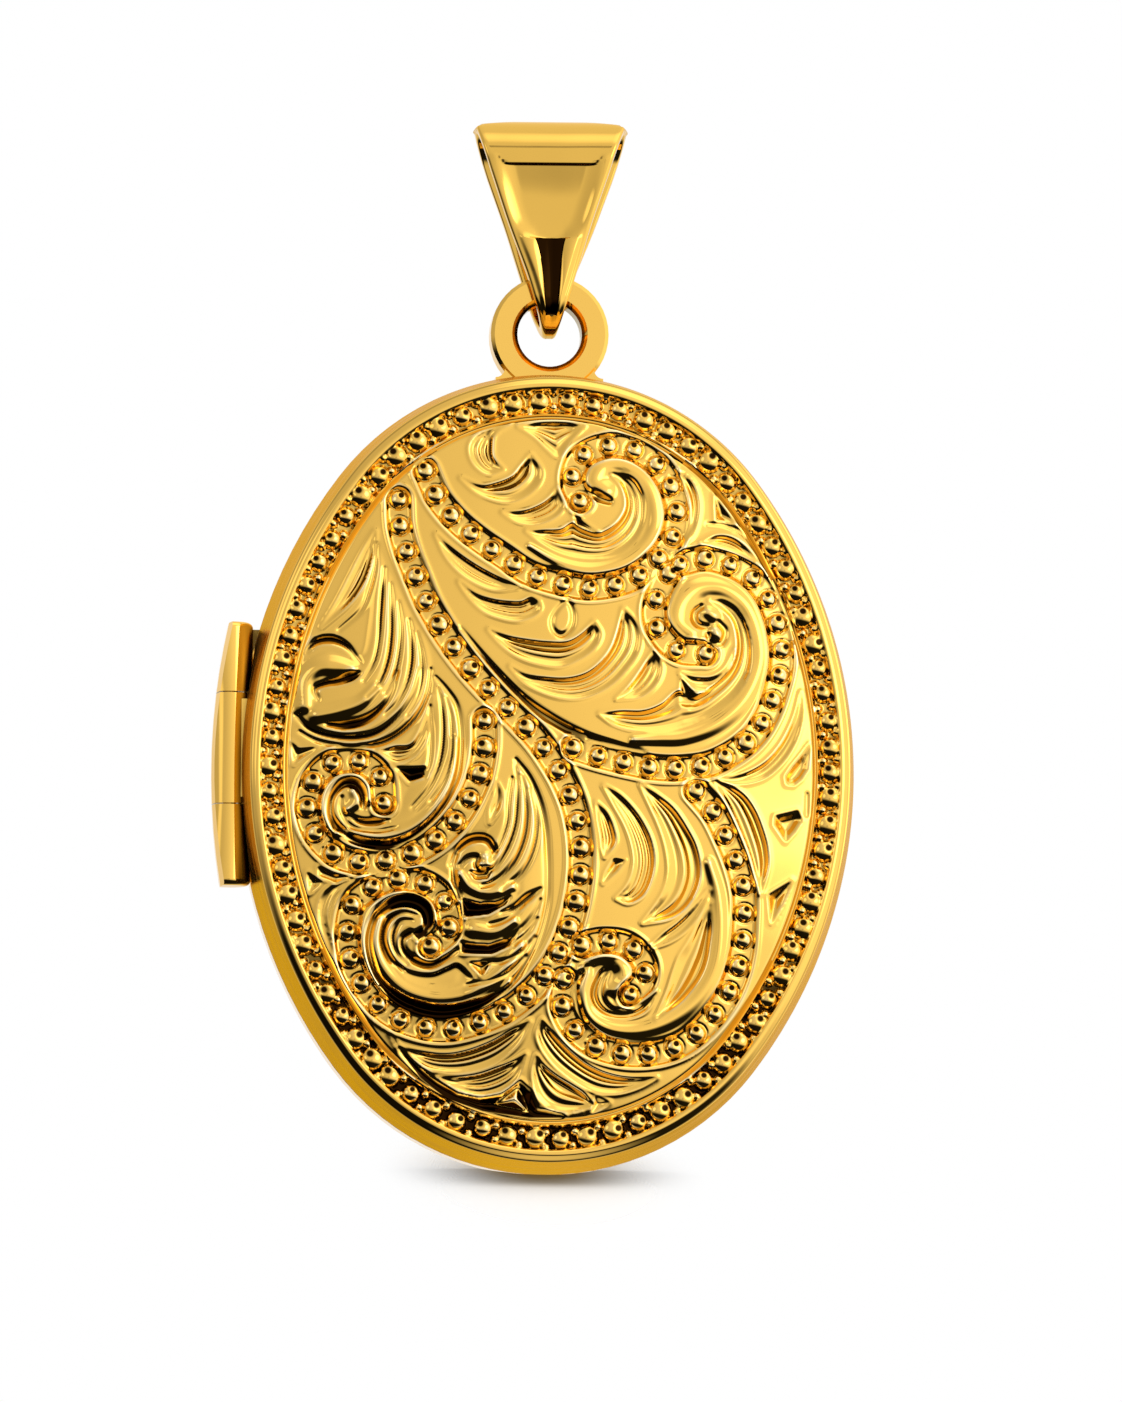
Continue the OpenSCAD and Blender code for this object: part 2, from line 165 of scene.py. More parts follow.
class Relief:
    """Heights over the dome, in millimetres, and painted shade, at scattered points of the field.
    """

    def __init__(self, x, v):
        self.x, self.v = x, v
        self.z = np.zeros(len(x))
        self.dark = np.zeros(len(x))

    def near(self, low, high, reach):
        """Points within reach of a box."""
        return np.nonzero((self.x > low[0] - reach) & (self.x < high[0] + reach)
                          & (self.v > low[1] - reach) & (self.v < high[1] + reach))[0]

    def trace(self, path, reach):
        """Points within reach of a path, how far each is from it, and the half-width there."""
        best = np.full(len(self.x), reach)
        value = np.zeros(len(self.x))
        wide = path[:, 2] if path.shape[1] > 2 else np.zeros(len(path))
        for i in range(0, len(path) - 1, 8):
            part = path[i:i + 9, :2]
            at = self.near(part.min(0), part.max(0), reach)
            if not len(at):
                continue
            a, ab = part[:-1], np.diff(part, axis=0)
            dx = self.x[at, None] - a[:, 0]
            dv = self.v[at, None] - a[:, 1]
            t = np.clip((dx * ab[:, 0] + dv * ab[:, 1]) / np.maximum((ab ** 2).sum(1), 1e-9), 0, 1)
            dist = np.hypot(dx - t * ab[:, 0], dv - t * ab[:, 1])
            k = dist.argmin(1)
            row = np.arange(len(at))
            dist, t = dist[row, k], t[row, k]
            closer = dist < best[at]
            best[at[closer]] = dist[closer]
            w = wide[i:i + 9]
            value[at[closer]] = (w[k] + t * (w[k + 1] - w[k]))[closer]
        at = np.nonzero(best < reach)[0]
        return at, best[at], value[at]

    def cut(self, at, depth):
        self.z[at] = np.minimum(self.z[at], -depth)

    def add(self, at, height):
        self.z[at] += height

    # painted shade: raises the dark tone that stands in for shade and dark reflections
    def paint_shade(self, at, tone):
        self.dark[at] = np.maximum(self.dark[at], tone)

    def inside(self, outline):
        """Points inside a closed outline."""
        at = self.near(outline.min(0), outline.max(0), 0)
        x, v = self.x[at, None], self.v[at, None]
        a, b = outline, np.roll(outline, -1, 0)
        crosses = (a[:, 1] > v) != (b[:, 1] > v)
        slope = (b[:, 0] - a[:, 0]) / np.where(b[:, 1] == a[:, 1], 1e-9, b[:, 1] - a[:, 1])
        odd = (crosses & (x < a[:, 0] + (v - a[:, 1]) * slope)).sum(1) % 2 == 1
        return at[odd]

    def distance(self, at, path):
        """How far chosen points are from a path."""
        best = np.full(len(at), 99.0)
        a, ab = path[:-1, :2], np.diff(path[:, :2], axis=0)
        for i in range(0, len(a), 16):
            dx = self.x[at, None] - a[i:i + 16, 0]
            dv = self.v[at, None] - a[i:i + 16, 1]
            s = ab[i:i + 16]
            t = np.clip((dx * s[:, 0] + dv * s[:, 1]) / np.maximum((s ** 2).sum(1), 1e-9), 0, 1)
            best = np.minimum(best, np.hypot(dx - t * s[:, 0], dv - t * s[:, 1]).min(1))
        return best

    def painted_shade_by_side(self, at, most):
        """How dark the painted shade in thin cuts is: darker on the left, lighter towards the
        right.
        """
        return most * (0.15 + 0.85 * smooth((2.0 - self.x[at]) / 4))

    # Tools of the die cutter

    def groove(self, points):
        """A V-shaped line of varying width."""
        at, dist, half = self.trace(curve(points), 0.4)
        half = 1.35 * np.maximum(half, 0.01) + 0.045
        self.add(at, -np.minimum(0.28, 0.85 * half) * smooth(1.15 - 1.15 * dist / half))
        # painted shade: the wider grooves are painted dark, more so on the left
        self.paint_shade(at, smooth((half - 0.17) / 0.08) * smooth(2.2 - 2.6 * dist / half))
        self.paint_shade(at, self.painted_shade_by_side(at, 0.7) * smooth((half - 0.09) / 0.05)
                    * smooth(1.5 - 2.6 * dist / half))

    def ridge(self, points, height=0.13):
        """A rounded raised scroll of varying width."""
        at, dist, half = self.trace(curve(points), 0.6)
        t = np.clip(dist / np.maximum(half, 0.02), 0, 1)
        self.add(at, height * (1 - t ** 2) ** 1.5)

    def gouge(self, steep, gentle, flutes, depth=0.24):
        """A leaf-shaped cut between two edges, with ridges that run along it and a raised lip."""
        a, b = curve(steep), curve(gentle)
        outline = np.vstack([a, b[::-1]])
        at = self.inside(outline)
        da, db = self.distance(at, a), self.distance(at, b)
        width = da + db
        s = da / np.maximum(width, 1e-6)
        full = depth * smooth(width / 0.5)
        wave = 0.5 + 0.5 * np.cos(2 * math.pi * flutes * s)
        floor = full * ((1 - s) * 0.75 + 0.28 - 0.42 * wave * smooth(s * flutes))
        self.cut(at, np.maximum(floor, 0.1 * full) * smooth(da / 0.1) * smooth(db / 0.08))
        # painted shade along the cut's steep edge, darker on the left
        self.paint_shade(at, self.painted_shade_by_side(at, 0.65) * smooth(width / 0.35 - 0.4)
                    * smooth(1.6 - da / 0.09))
        self.lip(outline, at)

    def lip(self, outline, inside, height=0.035):
        """The burr that a cut leaves along its edge."""
        near, dist, _ = self.trace(outline, 0.2)
        keep = ~np.isin(near, inside)
        near, dist = near[keep], dist[keep]
        self.add(near, height * np.exp(-((dist - 0.05) / 0.05) ** 2))

    def pit(self, outline, depth):
        """A recess with sides at 45 degrees. A deep one is painted dark, as shade."""
        o = np.array(outline)
        at = self.inside(o)
        edge = self.distance(at, closed(o))
        self.cut(at, np.minimum(depth, edge))
        if depth >= 0.3:
            self.paint_shade(at, smooth(edge / 0.1))
        self.lip(closed(o), at, 0.025)

    def boss(self, outline, height=0.1):
        """A raised facet, the opposite of a pit."""
        o = np.array(outline)
        at = self.inside(o)
        edge = self.distance(at, closed(o))
        self.z[at] = np.maximum(self.z[at], np.minimum(height, -0.25 + edge * 1.3))
        # no painted shade on the raised facet
        self.dark[at] = 0

    def channel(self, points, half=0.36, depth=0.12):
        """The sunk bed of a row of beads, with a fine raised line along both sides."""
        at, dist, _ = self.trace(curve(points), half + 0.3)
        bed = smooth((half + 0.07 - dist) / 0.14)
        self.z[at] = self.z[at] * (1 - bed) - depth * bed
        self.add(at, 0.035 * np.exp(-((dist - half - 0.13) / 0.05) ** 2))

    def beads(self, points, pitch=0.86, bed=0.12):
        """Punched beads, evenly spaced along a path."""
        p = curve(points)
        s = np.append(0, np.hypot(*np.diff(p[:, :2], axis=0).T).cumsum())
        count = max(1, round(s[-1] / pitch))
        for k in range(count + 1):
            at_s = s[-1] * k / count
            x, v = np.interp(at_s, s, p[:, 0]), np.interp(at_s, s, p[:, 1])
            at = self.near((x, v), (x, v), BEAD_REACH)
            radius, turn = rng.uniform(*FIELD_BEADS), rng.uniform(-0.7, 1.1)
            height, moat, dimple_and_painted_spot = punched_bead(self.x[at] - x, self.v[at] - v, radius, 0.22, turn)
            self.z[at] = np.maximum(self.z[at], height - bed) - moat
            # painted reflection: a dark spot painted on each bead's dimple
            self.paint_shade(at, dimple_and_painted_spot)

    def swell(self, outline, height=0.1, width=0.8):
        """A cushioned area."""
        o = curve(closed(outline))
        at = self.inside(o)
        t = 1 - np.clip(self.distance(at, o) / width, 0, 1)
        self.add(at, height * (1 - t ** 2))


def punched_bead(x, v, radius, rise, turn):
    """A bead struck by a cupped punch: its height over its bed, the moat round it, and the dimple
    near its top, which also sets the painted dark spot there, a painted reflection."""
    dist = np.hypot(x, v)
    ball = rise * np.sqrt(np.clip(1 - (dist / radius) ** 2, 0, 1))
    beside = np.hypot(x - 0.5 * radius * np.sin(turn), v - 0.5 * radius * np.cos(turn))
    dimple_and_painted_spot = smooth(1.4 - beside / (0.34 * radius))
    moat = 0.06 * smooth(1 - np.abs(dist - radius - 0.02) / 0.06)
    inside = dist < radius
    return np.where(inside, ball - 0.04 * dimple_and_painted_spot, 0), moat, np.where(inside, dimple_and_painted_spot, 0)


# Rows of beads: the stem with its lower-left scroll, and the scrolls that branch off it.
BEAD_ROWS = table("""
-4.15,9.6 -3.75,8.7 -3.15,7.95 -2.45,7.35 -1.65,6.8 -.8,6.25 .15,5.95 1.05,5.8 1.9,5.9 2.6,6.15
3.2,6.6 3.7,7.2 4,8 3.95,8.8 3.6,9.6 3,10.2 2.2,10.5 1.4,10.4 .8,10 .6,9.3 .85,8.65;
3.75,6.35 3.4,5.7 3.25,5 3.5,4.3 4.1,3.8 4.95,3.75;
4.1,6.65 4.95,6.85 5.95,6.6 6.7,6.05 7.15,5.3 7.4,4.4 7.45,3.5 7.25,2.6 6.95,1.8 6.5,1.1 5.85,.55
5.05,.15 4.15,0 3.3,0 2.4,.15 1.5,.35 .65,.6;
-5,8.65 -4.95,7.75 -4.75,6.95 -4.45,6.15 -4.1,5.3 -3.65,4.5 -3.15,3.75 -2.55,3 -1.85,2.25
-1.15,1.55 -.5,.85 0,.15 .4,-.55 .72,-1.35 .9,-2.25 .95,-3.15 .87,-4.05 .68,-4.95 .35,-5.85
-.1,-6.65 -.65,-7.3 -1.45,-7.9 -2.4,-8.3 -3.4,-8.5 -4.35,-8.35 -5.2,-7.95 -5.85,-7.3 -6.3,-6.6
-6.5,-5.8 -6.5,-5 -6.3,-4.4 -5.75,-3.95 -5.1,-3.7 -4.3,-3.75 -3.65,-4.1 -3.3,-4.7 -3.3,-5.35
-3.85,-5.85;
-2.2,1.45 -2.2,.6 -2.35,-.3 -2.7,-1.15 -3.2,-1.9 -3.85,-2.5 -4.6,-2.9 -5.4,-3.1 -6.1,-3.15 -6.75,-3
-7.3,-2.6 -7.7,-2 -7.85,-1.3 -7.7,-.6 -7.25,-.05 -6.6,.15 -5.95,0 -5.5,-.5 -5.4,-1.25;
4.65,-.7 5.25,-1.4 5.7,-2.25 6.05,-3.1 6.27,-4 6.28,-4.95 6.22,-5.85 6,-6.75 5.6,-7.55 5,-8.3
4.3,-8.85 3.45,-9.15 2.5,-9.2 1.6,-9 .87,-8.5 .42,-7.75 .45,-6.85;
1,-5.75 1.7,-5.6 2.45,-5.7 3,-6.2 3.05,-6.8 2.6,-7.3
""")

# Rounded scrolls, with half-widths.
SCROLLS = table("""
-.8,7.15,.1 .2,6.6,.22 1.2,6.4,.28 2.2,6.65,.32 2.95,7.2,.34 3.3,7.9,.34 3.25,8.75,.34 2.9,9.4,.34
2.3,9.85,.34 1.65,9.85,.38 1.35,9.35,.38 1.7,9,.36;
2.6,.9,.15 3.4,.95,.25 4.3,1.05,.3 5.35,1.5,.33 6.2,2.3,.35 6.68,3.4,.35 6.65,4.4,.35 6.25,5.35,.38
5.5,5.9,.4 4.7,5.9,.42 4.15,5.4,.42 4.05,4.8,.42 4.5,4.4,.36;
-7.15,-2.1,.2 -7.3,-1.5,.22 -7.2,-.9,.24 -6.85,-.5,.24 -6.3,-.42,.24 -5.95,-.7,.22 -5.85,-1.15,.2;
-1.3,-6.95,.12 -2.1,-7.75,.12 -3.4,-8.05,.1 -4.6,-7.8,.12 -5.6,-7.05,.16 -6,-5.9,.17 -5.85,-4.9,.18
-5.3,-4.25,.2 -4.5,-4.1,.2 -3.85,-4.45,.18 -3.72,-5,.16;
1,-6.5,.18 1.45,-6.15,.26 2,-6.15,.32 2.35,-6.5,.34 2.3,-6.95,.32 2.05,-7.15,.26;
1.2,-6.6,.2 1.08,-7.3,.22 1.3,-8,.24 1.95,-8.4,.28 2.9,-8.45,.32 3.9,-8.1,.36 4.8,-7.4,.36
5.35,-6.4,.34 5.5,-5.2,.3 5.4,-4,.26 5.1,-3,.2;
-5.5,-4.95,.18 -5.6,-5.8,.22 -5.3,-6.6,.26 -4.6,-7.25,.3 -3.6,-7.5,.3 -2.5,-7.3,.28 -1.6,-6.7,.24
-.95,-5.8,.2;
-8,1.9,.3 -8,2.7,.34 -7.6,3.15,.36 -7,3.2,.36 -6.5,3.1,.24;
-7.6,1.6,.3 -6.9,1.75,.3 -6.2,2,.26 -5.7,2.5,.2;
-6.9,-2.2,.1 -6.2,-2.3,.24 -5.3,-2.35,.28 -4.4,-2,.28 -3.7,-1.3,.24 -3.3,-.3,.2 -3.2,.8,.16;
-6.4,-.85,.14 -6.3,-1.2,.22 -6.55,-1.45,.14;
-2.15,-2.95,.2 -2.1,-3.15,.24 -2.3,-3.2,.14;
-2.95,-3.5,.16 -2.6,-3.95,.2 -2,-4.1,.24 -1.3,-3.9,.2;
-2.5,-5.3,.3 -1.8,-5.35,.24 -1.2,-5,.18;
5.05,5.1,.26 5.2,5,.28;
5.25,4.5,.22 5.3,4.4,.24
""")

# Leaf-shaped cuts: the steep edge from tip to tip / the gentle edge between the same tips / how
# many flutes run along the cut, and its depth where it isn't the usual one.
GOUGES = table("""
# top leaf
-1.15,11.1 -.4,11.2 .3,11.22 1,11.15 / -.6,10.75 -.2,10.35 .15,10.1 .5,10.6 / 3;
-1.4,11.2 -1.9,10.85 -2,10.4 -1.95,10 -1.65,9.65 / -2.2,10.95 -2.65,10.55 -2.7,10.15 -2.5,9.75
-2.1,9.5 / 3;
-3,9.35 -2.35,9.1 -1.85,9.18 -1.35,9.4 -1.05,9.75 -.75,10.15 / -2.5,8.9 -1.9,8.65 -1.4,8.6 -.9,8.8
-.5,9.2 -.42,9.65 / 2;
-1.65,8.25 -1,8.27 -.5,8.45 -.15,8.7 .1,9.05 / -1.2,7.95 -.6,7.88 0,8.1 .3,8.5 / 3;
-.88,7.64 -.4,7.65 .2,7.68 .6,7.9 1,7.7 1.5,7.6 2.05,7.95 2.35,8.5 2.25,9.1 1.87,9.58 / -.45,7.3
.05,7 .6,6.82 1.2,6.77 1.8,6.85 2.3,7.1 2.7,7.5 2.92,8 2.95,8.5 2.85,9 2.5,9.45 / 3;
# between the two upper stems
-3.8,7.5 -3.2,6.97 -2.7,6.6 -2.2,6.3 -1.7,6.05 -1.15,5.8 / -3.5,6.85 -3.1,6.35 -2.6,5.98 -1.9,5.72
/ 3;
-3.05,5.95 -2.5,5.55 -2,5.37 -1.5,5.3 -1.05,5.3 -.75,5.45 -.5,5.35 / -2.75,5.5 -2.3,5.05 -1.8,4.83
-1.2,4.72 -.7,4.85 -.45,5.1 / 3;
-2.1,4.4 -1.45,4.17 -.9,4.07 -.2,4 .45,4.02 .9,4.28 1.3,4.7 / -1.7,3.95 -1.2,3.58 -.6,3.35 .2,3.25
.85,3.5 1.3,3.85 1.5,4.3 / 2;
-1.4,3.2 -.9,2.95 -.3,2.85 .4,2.83 1,2.98 1.45,3.3 1.85,3.8 2.08,4.4 2.25,5.15 / -.95,2.72 -.4,2.43
.2,2.25 .8,2.22 1.4,2.4 1.95,2.75 2.4,3.25 2.7,3.7 2.8,4.2 2.65,4.7 / 3;
2.05,2.2 2.45,2.6 2.75,3 3,3.4 3.25,3.8 / 2.7,2.28 3.1,2.5 3.4,2.9 3.47,3.35 / 3;
# right-hand scroll
1.5,1.72 2.2,1.8 2.9,1.82 3.5,2.05 4.05,2.5 4.6,2.35 5.2,2.75 5.75,3.3 5.98,4 5.85,4.8 5.45,5.25
5.05,5.5 / 2,1.38 2.6,1.22 3.3,1.2 4.15,1.35 4.9,1.65 5.5,2.05 6,2.55 6.35,3.2 6.43,3.9 6.3,4.6
5.95,5.2 5.5,5.48 / 2;
4.1,3.1 4.6,2.95 5.15,2.98 5.6,3.3 5.9,3.9 / 4.5,2.65 5,2.55 5.5,2.9 5.8,3.4 / 3;
4.1,9.75 4.5,9.3 4.68,8.75 4.65,8.15 4.45,7.6 4.05,7.15 / 4.2,9.2 4.38,8.7 4.38,8.2 4.25,7.7 / 1;
4.8,7.35 5.3,7.6 5.8,7.55 6.25,7.25 6.9,6.6 / 5.4,7.2 5.95,7.03 6.4,6.83 / 2;
5.4,-.33 6,-.2 6.5,0 6.95,.3 7.35,.75 7.65,1.25 7.9,1.85 8.08,2.6 / 6.1,-.42 6.8,-.25 7.3,.12
7.7,.62 7.98,1.2 8.12,1.9 / 2;
5.25,-.35 5.8,-.55 6.25,-.85 6.6,-1.35 6.85,-1.95 7,-2.5 7.02,-3.1 6.8,-3.95 / 5.6,-.95 5.85,-1.5
6.1,-2.1 6.35,-2.75 6.55,-3.3 / 2;
# lower right leaf
1.65,-.6 2.15,-.9 2.6,-1.35 2.95,-1.85 3.2,-2.4 3.3,-3 3.2,-3.6 2.95,-4.1 2.5,-4.35 2.1,-4.22 /
2,-1.2 2.35,-1.8 2.58,-2.4 2.68,-3 2.6,-3.5 2.4,-3.9 / 3;
2.85,-.55 3.4,-.9 3.9,-1.3 4.3,-1.85 4.65,-2.5 4.8,-3.2 4.72,-3.8 4.4,-4.4 3.85,-4.8 2.95,-5 /
3.15,-1.15 3.5,-1.9 3.72,-2.6 3.8,-3.3 3.68,-3.9 3.4,-4.4 / 2;
1.4,-1.15 1.75,-1.5 1.97,-2 2.02,-2.45 1.7,-2.9 / 1.48,-1.7 1.57,-2.2 1.62,-2.6 / 2;
5.1,-3.9 4.55,-4.55 4.1,-5 3.65,-5.35 3.15,-5.8 / 4.8,-4.6 4.4,-5.15 3.85,-5.55 / 2;
5.15,-4.3 5.2,-5 5.15,-5.6 5.05,-6.2 4.85,-6.7 4.5,-7.2 4.1,-7.6 3.45,-8.05 / 4.8,-4.95 4.5,-5.55
4.2,-6.05 4,-6.6 3.85,-7.1 3.65,-7.6 / 2;
2,-6.45 1.65,-6.5 1.4,-6.9 1.32,-7.35 1.5,-7.75 1.9,-8 2.5,-8.05 3.1,-7.8 3.45,-7.2 / 1.85,-6.85
1.78,-7.2 1.85,-7.5 2.1,-7.72 2.5,-7.75 2.95,-7.5 / 2;
# foot, right and left
-.25,-8.15 .05,-8.5 .4,-8.88 .8,-9.25 1.3,-9.6 1.9,-9.85 2.6,-9.97 3.5,-9.93 / -.38,-8.6 -.2,-9.1
.2,-9.6 .8,-10.05 1.5,-10.4 2.2,-10.45 2.9,-10.25 / 2;
-.4,-9.3 -.15,-9.62 .25,-9.95 .75,-10.25 1.15,-10.5 1.5,-10.85 / -.5,-9.8 -.42,-10.35 -.15,-10.8
.3,-11.05 .85,-11.05 / 2;
-4.85,-9.05 -4.2,-9.2 -3.4,-9.3 -2.7,-9.2 -1.9,-8.9 -1.2,-8.5 -.65,-8.2 / -4.4,-9.4 -3.8,-9.75
-3,-9.85 -2.3,-9.75 -1.6,-9.45 -1,-8.9 / 2;
-3.5,-10.05 -2.8,-10.02 -2.2,-9.92 -1.6,-9.7 -1.15,-9.5 -.75,-9.25 / -2.9,-10.4 -2.2,-10.58
-1.5,-10.42 -1,-10 / 3;
# lower left scroll
-4.95,-6.4 -4.4,-6.65 -3.8,-6.7 -3.3,-6.5 -2.95,-6.4 -2.5,-6.85 / -4.6,-6.85 -4,-7.1 -3.4,-7.15
-2.9,-7.05 / 1,.12;
-6.55,-3.75 -7,-4.15 -7.2,-4.7 -7.15,-5.3 -6.95,-5.95 -6.8,-6.4 / -7.2,-4.05 -7.45,-4.6 -7.4,-5.2
-7.15,-5.85 / 2;
-1.8,-.55 -1.65,-.9 -1.68,-1.35 -2,-1.85 / -1.87,-1 -2,-1.4 / 1;
# middle left
-5.55,.45 -5.05,.57 -4.6,.62 -4.33,.98 -4.13,1.5 -3.92,2.2 / -5.2,.15 -4.9,.08 -4.5,.25 -4.2,.6
-4,1.1 / 2;
-5.75,7.6 -5.82,6.8 -6.1,5.9 -6.6,5.2 -7.45,4.45 / -6.15,6.9 -6.55,6.1 -6.95,5.3 / 2
""")

# Cushioned bodies of the leaves.
SWELLS = table("""
-5.7,7.3 -5.4,6.5 -5,5.7 -4.55,4.8 -4.1,4 -3.9,3.2 -4.05,2.3 -4.4,1.55 -5,.95 -5.7,.65 -6.6,.6
-7.5,.75 -8.1,1.1 -8.3,1.9 -8.25,2.7 -7.9,3.35 -7.3,3.65 -6.7,3.5 -6.2,3.6 -6,4.6 -5.85,6;
-3.8,2.85 -3.45,2.45 -3.12,1.95 -2.98,1.3 -2.95,.5 -3.05,-.3 -3.3,-.95 -3.65,-1.5 -4.1,-2 -4.7,-2.4
-5.4,-2.6 -6.1,-2.5 -6.7,-2.15 -6.3,-1.9 -5.6,-1.9 -5,-1.5 -4.7,-.9 -4.4,-.3 -4.1,.4 -3.95,1.2
-3.9,2;
-1.2,.2 -.75,-.4 -.4,-1.2 -.22,-2 -.15,-2.8 -.12,-3.6 -.15,-4.4 -.35,-5.3 -.7,-6.15 -1.2,-6.95
-1.9,-7.5 -2.7,-7.6 -2.8,-6.9 -2.9,-6 -2.9,-5 -2.95,-4.2 -3.15,-3.3 -2.75,-2.4 -2.15,-2.25
-1.8,-1.6 -1.4,-.8
""")

